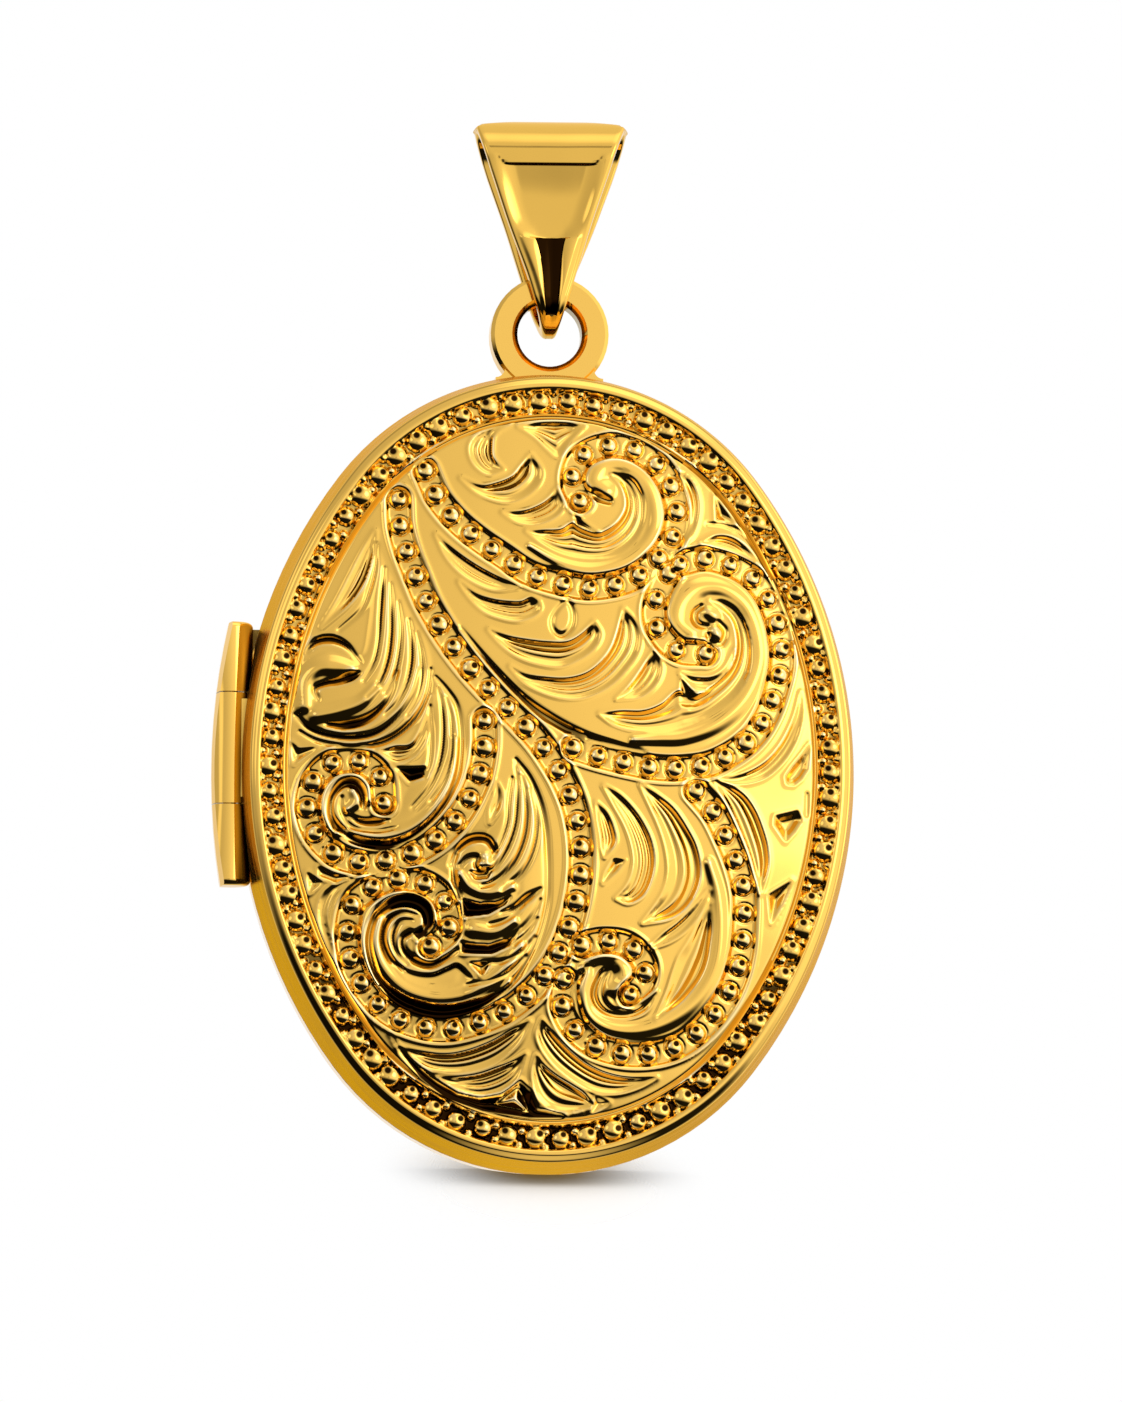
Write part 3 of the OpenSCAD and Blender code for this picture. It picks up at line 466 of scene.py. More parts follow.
# Cut lines, with half-widths.
GROOVES = table("""
# outline of the two lower left leaves and their scroll
-4.05,-5.45,.1 -3.92,-4.95,.14 -4.15,-4.5,.2 -4.65,-4.35,.2 -5.2,-4.55,.12 -5.65,-4.95,.06
-5.82,-5.6,.05 -5.7,-6.3,.06 -5.45,-6.95,.08 -4.9,-7.5,.16 -4.2,-7.82,.2 -3.4,-7.95,.2
-2.6,-7.8,.16 -1.9,-7.5,.1 -1.2,-6.95,.06 -.7,-6.15,.06 -.35,-5.3,.05 -.15,-4.4,.05 -.12,-3.6,.04
-.15,-2.8,.05 -.22,-2,.06 -.4,-1.2,.06 -.75,-.4,.05 -1.2,.2,.03;
-4.25,-4.85,.03 -4.8,-4.75,.06 -5.25,-5.05,.08 -5.38,-5.6,.08 -5.15,-6.2,.08 -4.7,-6.6,.05;
-4.45,-5,.03 -4.85,-5.05,.06 -5.05,-5.5,.07 -4.95,-6,.06 -4.6,-6.4,.04;
-4.5,-5.4,.08 -4.75,-5.6,.07 -4.7,-6,.08 -4.35,-6.3,.1 -3.85,-6.42,.1 -3.35,-6.2,.07 -3,-5.95,.04;
# flutes of the leaf beside the stem
-1.2,.05,.02 -1.12,-.6,.05 -1.12,-1.3,.07 -1.2,-2,.07 -1.45,-2.7,.07 -1.85,-3.3,.05 -2.4,-3.6,.03;
-1,-.3,.03 -.85,-1,.06 -.8,-1.7,.08 -.9,-2.4,.08 -1.2,-3.1,.07 -1.7,-3.65,.05 -2.3,-3.95,.03;
-.7,-.75,.03 -.5,-1.5,.06 -.48,-2.2,.07 -.65,-2.9,.07 -1,-3.5,.06 -1.6,-4,.04;
-1.3,-.4,.03 -1.4,-1.2,.05 -1.45,-1.9,.06 -1.7,-2.6,.05 -2,-3.1,.03;
-3.25,-3.2,.05 -3.05,-2.75,.06 -2.6,-2.4,.1 -2.1,-2.4,.1 -1.85,-2.75,.08;
-2.95,-3.25,.05 -2.7,-3,.06 -2.4,-2.97,.06 -2.45,-3.2,.06 -2.3,-3.42,.07 -2,-3.35,.04;
-3.05,-2.9,.03 -3.15,-3.3,.05 -3.1,-3.8,.06 -2.95,-4.25,.06;
-.35,-3.95,.02 -.75,-4.25,.1 -1.2,-4.6,.07 -1.6,-4.75,.03;
-.35,-4.3,.02 -.6,-4.85,.05 -1,-5.3,.05 -1.5,-5.6,.03;
-.45,-4.9,.02 -.75,-5.35,.05 -1.2,-5.75,.04;
-.9,-4.5,.02 -1.4,-4.95,.04 -2,-5.15,.03;
-.5,-5.5,.02 -.9,-5.95,.05 -1.5,-6.3,.05 -2.2,-6.35,.04;
-.8,-6.1,.02 -1.3,-6.6,.05 -2,-6.95,.04 -2.7,-7.05,.03;
# middle left leaf and its scroll
-3.8,2.85,.02 -3.45,2.45,.04 -3.12,1.95,.05 -2.98,1.3,.05 -2.95,.5,.05 -3.05,-.3,.05 -3.3,-.95,.06
-3.65,-1.5,.07 -4.1,-2,.08 -4.7,-2.4,.1 -5.4,-2.6,.14 -6.1,-2.5,.12 -6.7,-2.15,.1 -7.05,-1.7,.06
-7.1,-1.2,.06 -6.95,-.85,.08 -6.65,-.58,.12 -6.3,-.62,.12 -6.08,-.95,.08 -6.05,-1.4,.05;
-6.55,-1.65,.04 -6.1,-1.85,.08 -5.65,-1.85,.09 -5.3,-1.8,.04;
-6.75,-1.05,.03 -6.75,-1.5,.05 -6.4,-2,.05 -5.7,-2.15,.04 -5,-2.05,.03;
-3.7,2.5,.02 -3.55,1.8,.06 -3.5,1.1,.07 -3.55,.4,.07 -3.7,-.2,.06 -4,-.8,.05 -4.5,-1.4,.03;
-3.95,1.9,.02 -3.92,1,.04 -3.95,.2,.05 -4.1,-.4,.03;
-3.45,2.2,.02 -3.28,1.5,.05 -3.22,.7,.06 -3.3,0,.06 -3.5,-.6,.05 -3.9,-1.2,.03;
# upper left leaf and its curl
-7.95,3.65,.04 -7.6,3.98,.09 -7.1,4.05,.1 -6.65,3.85,.07 -6.35,3.5,.04 -6.2,3.3,.03;
-7.55,2.1,.04 -7.65,2.45,.06 -7.3,2.62,.08 -6.9,2.7,.1 -6.5,2.85,.12 -6.25,2.95,.05;
-7.25,1.3,.06 -6.7,1.27,.12 -6.1,1.4,.12 -5.6,1.75,.08 -5.2,2.3,.05 -5,3,.03;
-8.25,1.6,.04 -7.8,1.15,.07 -7.1,.92,.08 -6.3,.87,.08 -5.6,1.05,.07 -4.95,1.6,.06 -4.5,2.3,.05
-4.3,3.1,.03;
-8.1,1.05,.03 -7.5,.75,.05 -6.6,.6,.05 -5.7,.65,.06 -5,.95,.06 -4.4,1.55,.06 -4.05,2.3,.05
-3.95,3.1,.03;
-5.45,6.4,.03 -5.5,5.6,.07 -5.55,4.8,.07 -5.6,4,.06 -5.75,3.3,.06 -6.1,2.7,.04;
-5.25,5.9,.02 -5.2,5,.06 -5.2,4.2,.07 -5.3,3.4,.07 -5.55,2.7,.06 -6,2.2,.03;
-5,5.3,.02 -4.9,4.4,.05 -4.95,3.6,.06 -5.1,2.9,.06 -5.4,2.3,.04;
-4.65,4.7,.03 -4.55,4,.06 -4.55,3.3,.07 -4.7,2.6,.06 -5,2,.05 -5.4,1.6,.03;
-4.4,4.3,.02 -4.25,3.6,.05 -4.2,2.9,.06 -4.35,2.2,.05 -4.7,1.6,.03;
-5.7,7.2,.02 -5.75,6.4,.04 -5.95,5.6,.05 -6.2,5,.05 -6.9,4.35,.03;
# upper scrolls
1.1,9,.05 1.4,8.82,.12 1.8,8.65,.08;
5,8,.02 5.55,7.98,.05 6.1,7.75,.05 6.5,7.35,.05 6.9,6.65,.02;
4.15,9.6,.02 4.3,9.3,.04 4.4,9.05,.02;
4.8,5.3,.05 4.58,5.05,.09 4.65,4.72,.09 5,4.62,.05;
5,4.4,.04 5.1,4.15,.06 5.45,4.1,.06 5.6,4.5,.05 5.35,4.8,.04;
# round the lower right scroll
1.15,-6.45,.05 .87,-6.9,.07 .85,-7.35,.07 .97,-7.85,.07 1.3,-8.35,.07 1.8,-8.75,.07 2.45,-8.88,.05;
8.3,-.7,.02 8.3,-1.4,.03;
# teardrop
.45,5.42,.03 .62,5,.05 .6,4.6,.06 .42,4.33,.06 .2,4.25,.06 0,4.42,.05 -.06,4.75,.04 .12,5.1,.03
.4,5.38,.02;
# deep edge above the stem
-3,4.45,.02 -2,3.22,.07 -1,2.18,.1 0,1.47,.12 1,.98,.12 2,.72,.08 3,.52,.03
""")

# Small recesses: the outline / the depth.
PITS = table("""
.6,8.3 .72,7.85 1.5,7.55 .95,7.95 / .3;
5.25,8.95 5.28,8.1 5.95,8.03 / .2;
4.15,2.9 4.65,2.35 4.35,2.02 4.12,2.1 / .2;
8.4,.95 8.15,.6 7.8,.17 7.58,-.15 7.62,-.4 7.85,-.42 8.1,-.22 8.3,.1 / .16;
7.25,-1.45 8,-1.25 8.13,-1.55 7.9,-1.92 7.6,-2.25 7.22,-1.72 / .22;
2,-2.95 2.35,-3 2.1,-3.35 1.65,-3.75 1.75,-3.4 / .16;
7.05,-4 7.85,-3.5 7.5,-4.3 7.15,-4.9 / .22;
1.55,-10.6 1.98,-10.75 1.4,-11.1 / .25;
-5.1,-8.6 -4.8,-9.05 -4.2,-9.62 -3.55,-10.15 -2.9,-10.52 -2.2,-10.66 -1.5,-10.55 -.9,-10.1
-.55,-10.4 -.3,-11 .5,-11.15 .6,-11.3 -.6,-11.32 -2.1,-11.12 -3.3,-10.72 -4.15,-10.05 -4.75,-9.3 /
.3;
-2.9,-4.3 -2.3,-4.47 -1.7,-4.42 -1.3,-4.2 -1.5,-4.47 -2,-4.77 -2.85,-4.9 / .34;
-2.9,-5.65 -2.55,-5.75 -2,-5.8 -1.4,-5.6 -1,-5.35 -1.35,-5.8 -1.9,-6.05 -2.9,-6.05 / .34;
-2.65,-3.42 -1.95,-3.44 -2.05,-3.65 -2.45,-3.68 / .25;
-4.5,-5.4 -4.1,-5.15 -3.95,-5.5 -4.25,-5.68 / .3;
-2.6,-6.35 -1.95,-6.35 -2.2,-6.75 / .12;
-5.05,-.1 -4.1,-.05 -4.05,-.35 -4.6,-.6 / .3;
-8.4,.75 -8.15,.5 -7.55,.55 -8.3,0 / .2;
-7.85,-3.45 -7.35,-3.8 -7.75,-4.15 / .2;
-7.5,-3.3 -7,-3.5 -6.45,-3.6 -6.9,-3.82 -7.45,-3.6 / .25
""")


def soften(z, links, passes):
    """Rounds the relief a little, as a polished strike is."""
    i, j = links
    count = np.bincount(i, minlength=len(z)) + np.bincount(j, minlength=len(z))
    for _ in range(passes):
        total = np.bincount(i, z[j], len(z)) + np.bincount(j, z[i], len(z))
        z = 0.5 * z + 0.5 * total / np.maximum(count, 1)
    return z


def struck_field(x, v, links):
    """Height of the ornament over the dome, and its dark dimples."""
    relief = Relief(x, v)
    for tool, strokes in ((relief.swell, SWELLS), (relief.ridge, SCROLLS),
                          (relief.groove, GROOVES)):
        for (path,) in strokes:
            tool(path)
    for steep, gentle, (settings,) in GOUGES:
        relief.gouge(steep, [steep[0], *gentle, steep[-1]], *settings)
    for outline, (settings,) in PITS:
        relief.pit(outline, *settings)
    relief.boss([(-0.95, -10.2), (-1.75, -10.85), (-0.6, -11.1)])
    relief.z = soften(relief.z, links, 2)
    for tool in (relief.channel, relief.beads):
        for (path,) in BEAD_ROWS:
            tool(path)
    return soften(relief.z, links, 1), relief.dark


def cover_height(x, v, links):
    """Height of the cover's outside, and its painted shade and highlight: how deep each point is
    in a crevice, with painted dark marks added, and crests below 0 for a painted highlight.
    """
    out = -oval_distance(CHANNEL_OUT, x, v)
    inner = -oval_distance(CHANNEL_IN, x, v)
    field = -oval_distance(FIELD, x, v)
    rim = -oval_distance(CASE - WALL_DRAFT - RIM_BEVEL, x, v)
    edge = -oval_distance(CASE - WALL_DRAFT, x, v)
    z = WALL_TOP + (RIM - WALL_TOP) * smooth(0.5 + rim / (2 * RIM_BEVEL))
    z = z - 0.02 * smooth(1 - np.abs(out + 0.02) / 0.14)
    sink = smooth(out / 0.13)
    z = z * (1 - sink) + CHANNEL * sink
    # beads of the border, and the smaller grains between them
    band = np.nonzero((out > -0.02) & (inner < 0.06))[0]
    bead_at = np.stack(oval_ring((CHANNEL_OUT + CHANNEL_IN) / 2, BORDER_BEADS))
    bead_at += rng.uniform(-0.05, 0.05, bead_at.shape)
    from_bead = np.stack([x[band], v[band]])[:, :, None] - bead_at[:, None, :]
    beside = np.hypot(*from_bead).argmin(1)
    radius, turn = rng.uniform(0.3, 0.38, BORDER_BEADS), rng.uniform(-0.9, 1.3, BORDER_BEADS)
    height, _, dimple_and_painted_spot = punched_bead(*from_bead[:, np.arange(len(band)), beside],
                                     radius[beside], 0.26, turn[beside])
    z[band] = np.maximum(z[band], CHANNEL + height)
    for half in (CHANNEL_OUT - 0.13, CHANNEL_IN + 0.13):
        between = np.stack(oval_ring(half, BORDER_BEADS, 0.5))
        between += rng.uniform(-0.06, 0.06, between.shape)
        gap = np.hypot(x[band, None] - between[0], v[band, None] - between[1]).min(1)
        grain = 0.18 * np.sqrt(np.clip(1 - (gap / 0.15) ** 2, 0, 1))
        z[band] = np.maximum(z[band], CHANNEL + grain)
    # fine raised line, and the dome inside it
    rise = smooth((inner + 0.04) / 0.1)
    z = z * (1 - rise) + LINE * rise
    base = LINE - 0.16 * smooth((field + 0.05) / 0.08)
    over = smooth((field - 0.03) / 0.14)
    dome = FIELD_EDGE + DOME * (1 - (x / FIELD[0]) ** 2 - (v / FIELD[1]) ** 2)
    z = np.where(field > -0.05, base * (1 - over) + dome * over, z)
    ornament, dark = struck_field(x, v, links)
    z = z + ornament * smooth((field - 0.06) / 0.14)
    # painted shade in crevices, which are below their surroundings, and painted highlight on
    # crests, which are above them
    painted_shade_and_highlight = soften(z, links, 14) - z
    painted_shade_and_highlight[band] *= 0.6
    painted_shade_and_highlight = np.minimum(painted_shade_and_highlight, np.maximum(0.3 * (soften(z, links, 40) - z), -0.04))
    painted_shade_and_highlight = np.where(out < 0.05, np.maximum(painted_shade_and_highlight, -0.012), painted_shade_and_highlight)
    # painted shade in the low places between the border's beads, darker towards the bottom
    bed = smooth((CHANNEL + 0.12 - z[band]) / 0.08) * (0.12 + 0.85 * smooth(-v[band] / CASE[1]))
    # painted reflection: dark spots painted on the border beads' dimples
    dark[band] = np.maximum(dark[band], np.maximum(0.8 * dimple_and_painted_spot, bed))
    # painted shade: a dark line just inside the rim's outer edge
    dark = np.maximum(dark, 0.4 * smooth(1.3 - np.abs(edge - 0.045) / 0.045))
    return z, np.where(dark > 0, np.maximum(painted_shade_and_highlight, PAINTED_SHADE_FULL * dark), painted_shade_and_highlight)


# ------------------------------------------------------------------------------------------
# Meshes

def make_object(name, verts, faces, material):
    mesh = bpy.data.meshes.new(name)
    mesh.from_pydata([tuple(p) for p in verts], [], faces)
    mesh.validate()
    mesh.materials.append(material)
    obj = bpy.data.objects.new(name, mesh)
    bpy.context.scene.collection.objects.link(obj)
    return obj


def make_piece(name, verts, faces, material, body, smooth_angle, replaced):
    """A smooth-shaded piece that rides on a body and stands for a CAD node."""
    obj = make_object(name, verts, faces, material)
    obj.data.shade_smooth()
    obj.data.set_sharp_from_angle(angle=math.radians(smooth_angle))
    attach(obj, body)
    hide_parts(replaced)
    return obj


def bridge(lower, upper):
    """Faces between two rings of the same number of points."""
    n = len(lower)
    return [(lower[i], lower[(i + 1) % n], upper[(i + 1) % n], upper[i]) for i in range(n)]


def store_painted_shade(obj, deep):
    """Stores each point's painted shade: how far it lies in a crevice, with painted dark marks
    added, and below 0 a painted highlight on crests.
    """
    values = np.zeros(len(obj.data.vertices), np.float32)
    values[:len(deep)] = deep
    obj.data.attributes.new("recess", "FLOAT", "POINT").data.foreach_set("value", values)


def clear_of_hinge(x, v, d):
    """Moves the points of a ring out of the grooves that the wall has for the knuckles."""
    along = (v > HINGE_LOW) & (v < HINGE_HIGH)
    r = np.where((v > MIDDLE_LOW) & (v < MIDDLE_HIGH), MIDDLE_GROOVE, HINGE_GROOVE)
    hit = along & (x < 0) & (np.hypot(x - HINGE_X, d) < r)
    return np.where(hit, HINGE_X + np.sqrt(np.clip(r ** 2 - d ** 2, 0, None)), x)


def clear_of_snap(x, v, d):
    """Moves the points of an inner ring out to the groove that the snap ridge clicks into."""
    wall = SNAP_X + math.sqrt(SNAP_GROOVE ** 2 - (d - SNAP_D) ** 2)
    return np.where((x > 0) & (np.abs(v) < SNAP_HALF), np.maximum(x, wall), x)


def cover_points():
    """Plan of the cover's outside: rings that follow the rim, then an even grid inside them."""
    narrowing = np.array([1.0, 1.1])
    xs, vs = [], []
    depths = [0, 0.018, 0.036, 0.054, 0.075, 0.1, *np.arange(0.13, 1.46, 0.044)]
    for k, depth in enumerate(depths):
        x, v = oval_ring(CASE - WALL_DRAFT - depth * narrowing, RING_POINTS, 0.5 * (k % 2))
        xs.append(x)
        vs.append(v)
    grid_x, grid_v = np.meshgrid(np.arange(-10, 10, SPACING),
                                 np.arange(-13, 13, SPACING * math.sqrt(3) / 2))
    grid_x[1::2] += SPACING / 2
    edge = CASE - WALL_DRAFT - (depths[-1] + 0.03) * narrowing
    keep = oval_distance(edge, grid_x, grid_v) < 0
    return np.concatenate([*xs, grid_x[keep]]), np.concatenate([*vs, grid_v[keep]])


def front_cover_mesh(material):
    x, v = cover_points()
    _, _, triangles, *_ = delaunay_2d_cdt([tuple(p) for p in np.stack([x, v], -1)], [], [], 0,
                                          1e-6)
    corners = np.array(triangles)
    links = np.concatenate([corners[:, 0:2], corners[:, 1:3], corners[:, 2::-2]]).T
    z, deep = cover_height(x, v, links)
    z[:RING_POINTS] = WALL_TOP
    points = [np.stack([x, v, z], -1)]
    faces = [tuple(t) for t in triangles]
    # rings down the outer wall, close together at the hinge's grooves, then through the inside
    levels = (1.75, 1.5, 1.25, 1.0, 0.85, 0.78, 0.74, 0.68, 0.6, 0.5, 0.4, 0.3, 0.2, 0.1, 0.03)
    rings = [(CASE - WALL_DRAFT * d / WALL_TOP, d) for d in levels]
    rings += [(CASE - 0.02, 0.01), (CAVITY, 0.01)]
    rings += [(CAVITY, d) for d in (0.3, 0.33, 0.37, 0.41, 0.45, 0.49, 0.53, 0.57, 0.6)]
    rings += [(CAVITY, STEP), (CAVITY - STEP_WIDTH, STEP), (CAVITY - STEP_WIDTH, CEILING)]
    rings += [(CAVITY * s, CEILING) for s in (0.8, 0.6, 0.4, 0.2)]
    last, total = range(RING_POINTS), len(x)
    for half, d in rings:
        rx, rv = oval_ring(half, RING_POINTS)
        if d < 0.8 and half[0] > CAVITY[0] + 0.1:
            rx = clear_of_hinge(rx, rv, d)
        if half is CAVITY and 0.3 < d < 0.6:
            rx = clear_of_snap(rx, rv, d)
        points.append(np.stack([rx, rv, np.full(RING_POINTS, d)], -1))
        ring = range(total, total + RING_POINTS)
        faces += bridge(last, ring)
        last, total = ring, total + RING_POINTS
    faces.append(tuple(last))
    obj = make_piece("engraved_front_cover", to_world(*np.concatenate(points).T), faces, material,
                     "front", 75, "front_cover")
    obj.data.materials.append(SATIN)
    wall = np.zeros(len(obj.data.polygons), np.int32)
    wall[len(triangles):len(triangles) + len(levels) * RING_POINTS] = 1
    obj.data.polygons.foreach_set("material_index", wall)
    store_painted_shade(obj, deep)


def bail_mesh(material):
    """The bail as a bent strip with rounded edges, turned a little towards the front left."""
    low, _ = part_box("bail")
    fold, tuck, thick = 1.35, 1.3, 0.4
    drop = low.z / MM + tuck
    lean = math.asin((fold - tuck) / -drop)
    shoulder, scoop = -0.16, -2.62      # top and foot of the pocket under the fold
    flute_end = -5.1                    # the flute starts at the pocket's foot
    r, ri = 0.1, 0.06                   # radii of the strip's outer and inner edges
    arch = 14                           # radius of its top edge

    path = []                           # along the strip: place (d, z), and the way it faces
    for radius, level, start, stop in ((fold, 0, -lean, math.pi + lean),
                                       (tuck, drop, math.pi + lean, 2 * math.pi - lean)):
        for a in np.linspace(start, stop, 90):
            path.append((radius * math.cos(a), level + radius * math.sin(a),
                         math.cos(a), math.sin(a)))
        side = -1 if level == 0 else 1
        n = (side * math.cos(lean), -math.sin(lean))
        straight = np.linspace(0, 1, 40) if level == 0 else np.linspace(1, 0, 200)
        for t in straight[1:-1]:
            out = fold + (tuck - fold) * t
            path.append((out * n[0], t * drop + out * n[1], *n))

    def half_width(d, z):
        """Tapers down to the bottom fold, which swings inside the loop."""
        pinch = np.clip((-0.4 - z) / 3.3, 0, 1) * (0.1 - 0.04 * np.clip(d / 0.9, -1, 1))
        return 2.5 - 0.316 * (0.99 - z) - 0.055 * (d + fold) - pinch

    def flute(z):
        """Half-width of the flute, flared at its top."""
        t = np.clip((z - flute_end) / (scoop - flute_end), 0, 1)
        return 0.15 + 0.19 * t + 0.12 * t ** 6

    def shoulder_at(x):
        """Height of the fold's lower edge, which turns up at both ends."""
        return shoulder + 0.34 * smooth((abs(x) - 1.36) / 0.5)

    def relief(d, z, x, width, floor):
        """Height on the front panel: the pocket under the fold, and ridges by the flute."""
        if d < 0:
            return 0.0
        down = np.clip((z - scoop) / (shoulder - scoop), 0, 1)
        pocket = 1.55 * down ** 0.25
        height = -0.08 - 0.045 * math.sin(math.pi * down)
        height += (0.04 - height) * smooth(0.5 + (abs(x) - pocket) / 0.9)
        across_ridge = np.clip((abs(x) - floor) / (width - floor), 0, 1)
        height += 0.06 * math.sin(math.pi * across_ridge) * smooth((scoop + 0.7 - z) / 1.2)
        height *= smooth((shoulder_at(x) - z) / 0.07) * smooth((width - abs(x)) / 0.2)
        return float(height * smooth((z - flute_end + 0.4) / 0.5))

    turns = np.linspace(0, math.pi / 2, 6)
    verts, dark = [], []
    for d, z, nd, nz in path:
        width = half_width(d, z) - r
        floor = min(float(flute(z)), 0.7 * width)
        bank = np.linspace(floor + 0.04, width, 16)
        in_flute = d > 0 and flute_end < z < scoop
        section = []
        for x in [*-bank[::-1], *np.linspace(-floor, floor, 9), *bank]:
            sunk_and_painted_dark = in_flute and abs(x) <= floor + 0.001
            under = shoulder_at(x) - z
            # painted shade: a thin dark line just under the fold's lower edge, and the sunk flute
            # is painted black, a painted dark reflection
            line = (smooth(1.6 - abs(under - 0.03) / 0.04) * smooth((1.86 - abs(x)) / 0.3)
                    * (d > 0))
            section.append((x, relief(d, z, x, width, floor) - 0.1 * sunk_and_painted_dark,
                            max(sunk_and_painted_dark, 0.06 * line)))
        corner = [(width + r * math.sin(a), -r + r * math.cos(a), 0) for a in turns[1:]]
        inner = [(width + r - ri + ri * math.cos(a), -thick + ri - ri * math.sin(a), 0)
                 for a in turns]
        section += corner + inner
        section += [(-x, n, 0) for x, n, _ in (corner + inner)[::-1]]
        for x, n, sunk_and_painted_dark in section:
            pd, pz = d + nd * n, z + nz * n
            x *= half_width(pd, pz) / half_width(d, z)
            top = fold + 0.03 - (arch - math.sqrt(arch ** 2 - x * x))
            pz = min(pz, top - 0.12 * smooth((abs(x) - 2.2) / 0.3)) if z > 0 else pz
            verts.append((x, pd, pz))
            dark.append(float(sunk_and_painted_dark))
    n = len(section)
    rings = [range(i * n, i * n + n) for i in range(len(path))]
    faces = [face for one, two in zip(rings, rings[1:] + rings[:1]) for face in bridge(one, two)]
    points = []
    for x, d, z in verts:
        turn = math.radians(4 * smooth((z + 4.2) / 2.5))      # square to the loop at the bottom
        points.append(Vector((x * math.cos(turn) - d * math.sin(turn),
                              -d * math.cos(turn) - x * math.sin(turn), z)) * MM)
    obj = make_piece("bent_strip_bail", points, faces, material, "bail", 50, "bail")
    store_painted_shade(obj, dark)


def window_mesh(node, body):
    """A clear window, a little thinner than its place, so that it clears the card behind it."""
    cad = nodes[node]
    low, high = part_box(node)
    middle = (low.y + high.y) / 2
    points = [cad.matrix_world @ vert.co for vert in cad.data.vertices]
    points = [(p.x, middle + 0.9 * (p.y - middle), p.z) for p in points]
    make_piece("clear_" + node, points, [tuple(f.vertices) for f in cad.data.polygons], CLEAR,
               body, 30, node)


# ------------------------------------------------------------------------------------------
# Materials

def feed(node, sockets):
    """Sets inputs of a node to constants, or links them from outputs."""
    for key, value in sockets.items():
        if isinstance(value, bpy.types.NodeSocket):
            node.id_data.links.new(value, node.inputs[key])
        else:
            node.inputs[key].default_value = value


def add_node(tree, kind, sockets=None, **settings):
    node = tree.nodes.new(kind)
    for key, value in settings.items():
        setattr(node, key, value)
    feed(node, sockets or {})
    return node


def principled(name):
    mat = bpy.data.materials.new(name)
    mat.use_nodes = True
    return mat, mat.node_tree, mat.node_tree.nodes["Principled BSDF"]


def map_range(tree, value, low, high, to_low, to_high):
    sockets = {"Value": value, "From Min": low, "From Max": high, "To Min": to_low,
               "To Max": to_high}
    return add_node(tree, "ShaderNodeMapRange", sockets,
                    interpolation_type="SMOOTHSTEP").outputs["Result"]


def maths(tree, operation, a, b):
    return add_node(tree, "ShaderNodeMath", {0: a, 1: b}, operation=operation).outputs[0]


def mix_colour(tree, factor, a, b):
    return add_node(tree, "ShaderNodeMix", {0: factor, 6: a, 7: b}, data_type="RGBA").outputs[2]


def place(tree, location=(0, 0, 0), scale=(1, 1, 1)):
    """Object coordinates, scaled and then moved."""
    coords = add_node(tree, "ShaderNodeTexCoord").outputs["Object"]
    sockets = {"Vector": coords, "Location": location, "Scale": scale}
    return add_node(tree, "ShaderNodeMapping", sockets).outputs["Vector"]


def noise(tree, scale, detail=3.0, stretch=(1, 1, 1)):
    sockets = {"Vector": place(tree, scale=stretch), "Scale": scale, "Detail": detail}
    return add_node(tree, "ShaderNodeTexNoise", sockets).outputs["Fac"]


def distance_from(tree, centre, scale):
    """How far a point is from another, with each axis scaled."""
    away = place(tree, [-c * s for c, s in zip(centre, scale)], scale)
    return add_node(tree, "ShaderNodeVectorMath", {0: away}, operation="LENGTH").outputs["Value"]


def gold(name, colour, rough, edge=(1.0, 0.9, 0.68), brushed=None, recess=False, hole=None,
         gaps=False):
    """Polished gold with fine wear in its gloss. Its dark tone is painted shade: in the crevices
    that the mesh marks, round a hole given as height and radius, or where other metal is close;
    crests that the mesh marks get a painted highlight, and plain gold a faint random tone."""
    mat, tree, shader = principled(name)
    base = (*colour, 1)
    if recess:
        deep = add_node(tree, "ShaderNodeAttribute", attribute_name="recess").outputs["Fac"]
        # painted shade in the crevices that the mesh marks
        factor = map_range(tree, deep, 0.012, 0.06, 0.0, 1.0)
        # painted highlight: crests that the mesh marks are paler
        painted_highlight = map_range(tree, deep, -0.01, -0.05, 0.0, 1.0)
        base = mix_colour(tree, painted_highlight, base, (0.93, 0.74, 0.38, 1))
    elif hole:
        # painted shade inside the loop's hole
        factor = map_range(tree, distance_from(tree, (0, 0, hole[0]), (1, 0, 1)),
                           hole[1], hole[1] + 0.00005, 0.9, 0.0)
    elif gaps:
        # painted shade where other metal is close, from ambient occlusion
        nearby = add_node(tree, "ShaderNodeAmbientOcclusion", {"Distance": 0.0005})
        factor = map_range(tree, nearby.outputs["AO"], 0.35, 0.8, 0.9, 0.0)
    else:
        factor = map_range(tree, noise(tree, 350), 0.35, 0.75, 0.0, 0.06)
    wear = noise(tree, 400, 2, brushed) if brushed else noise(tree, 1400, 4)
    bump = add_node(tree, "ShaderNodeBump", {
        "Strength": 0.15 if brushed else 1.0, "Distance": 0.00006 if recess else 0.00002,
        "Height": wear if brushed else noise(tree, 320, 1)})
    # dark colour of the painted shade; on plain gold, a faint random tone
    dark = (colour[0] * 0.02, colour[1] * 0.012, colour[2] * 0.01, 1)
    feed(shader, {"Metallic": 1, "Specular Tint": (*edge, 1),
                  "Base Color": mix_colour(tree, factor, base, dark),
                  "Roughness": map_range(tree, wear, 0.3, 0.7, rough * 0.75, rough * 1.3),
                  "Normal": bump.outputs["Normal"]})
    return mat


def plain(name, colour, alpha, scale, smoothest, roughest):
    """A plain surface with fine wear in its gloss."""
    mat, tree, shader = principled(name)
    rough = map_range(tree, noise(tree, scale), 0.3, 0.7, smoothest, roughest)
    feed(shader, {"Base Color": (*colour, 1), "Alpha": alpha, "Roughness": rough})
    return mat


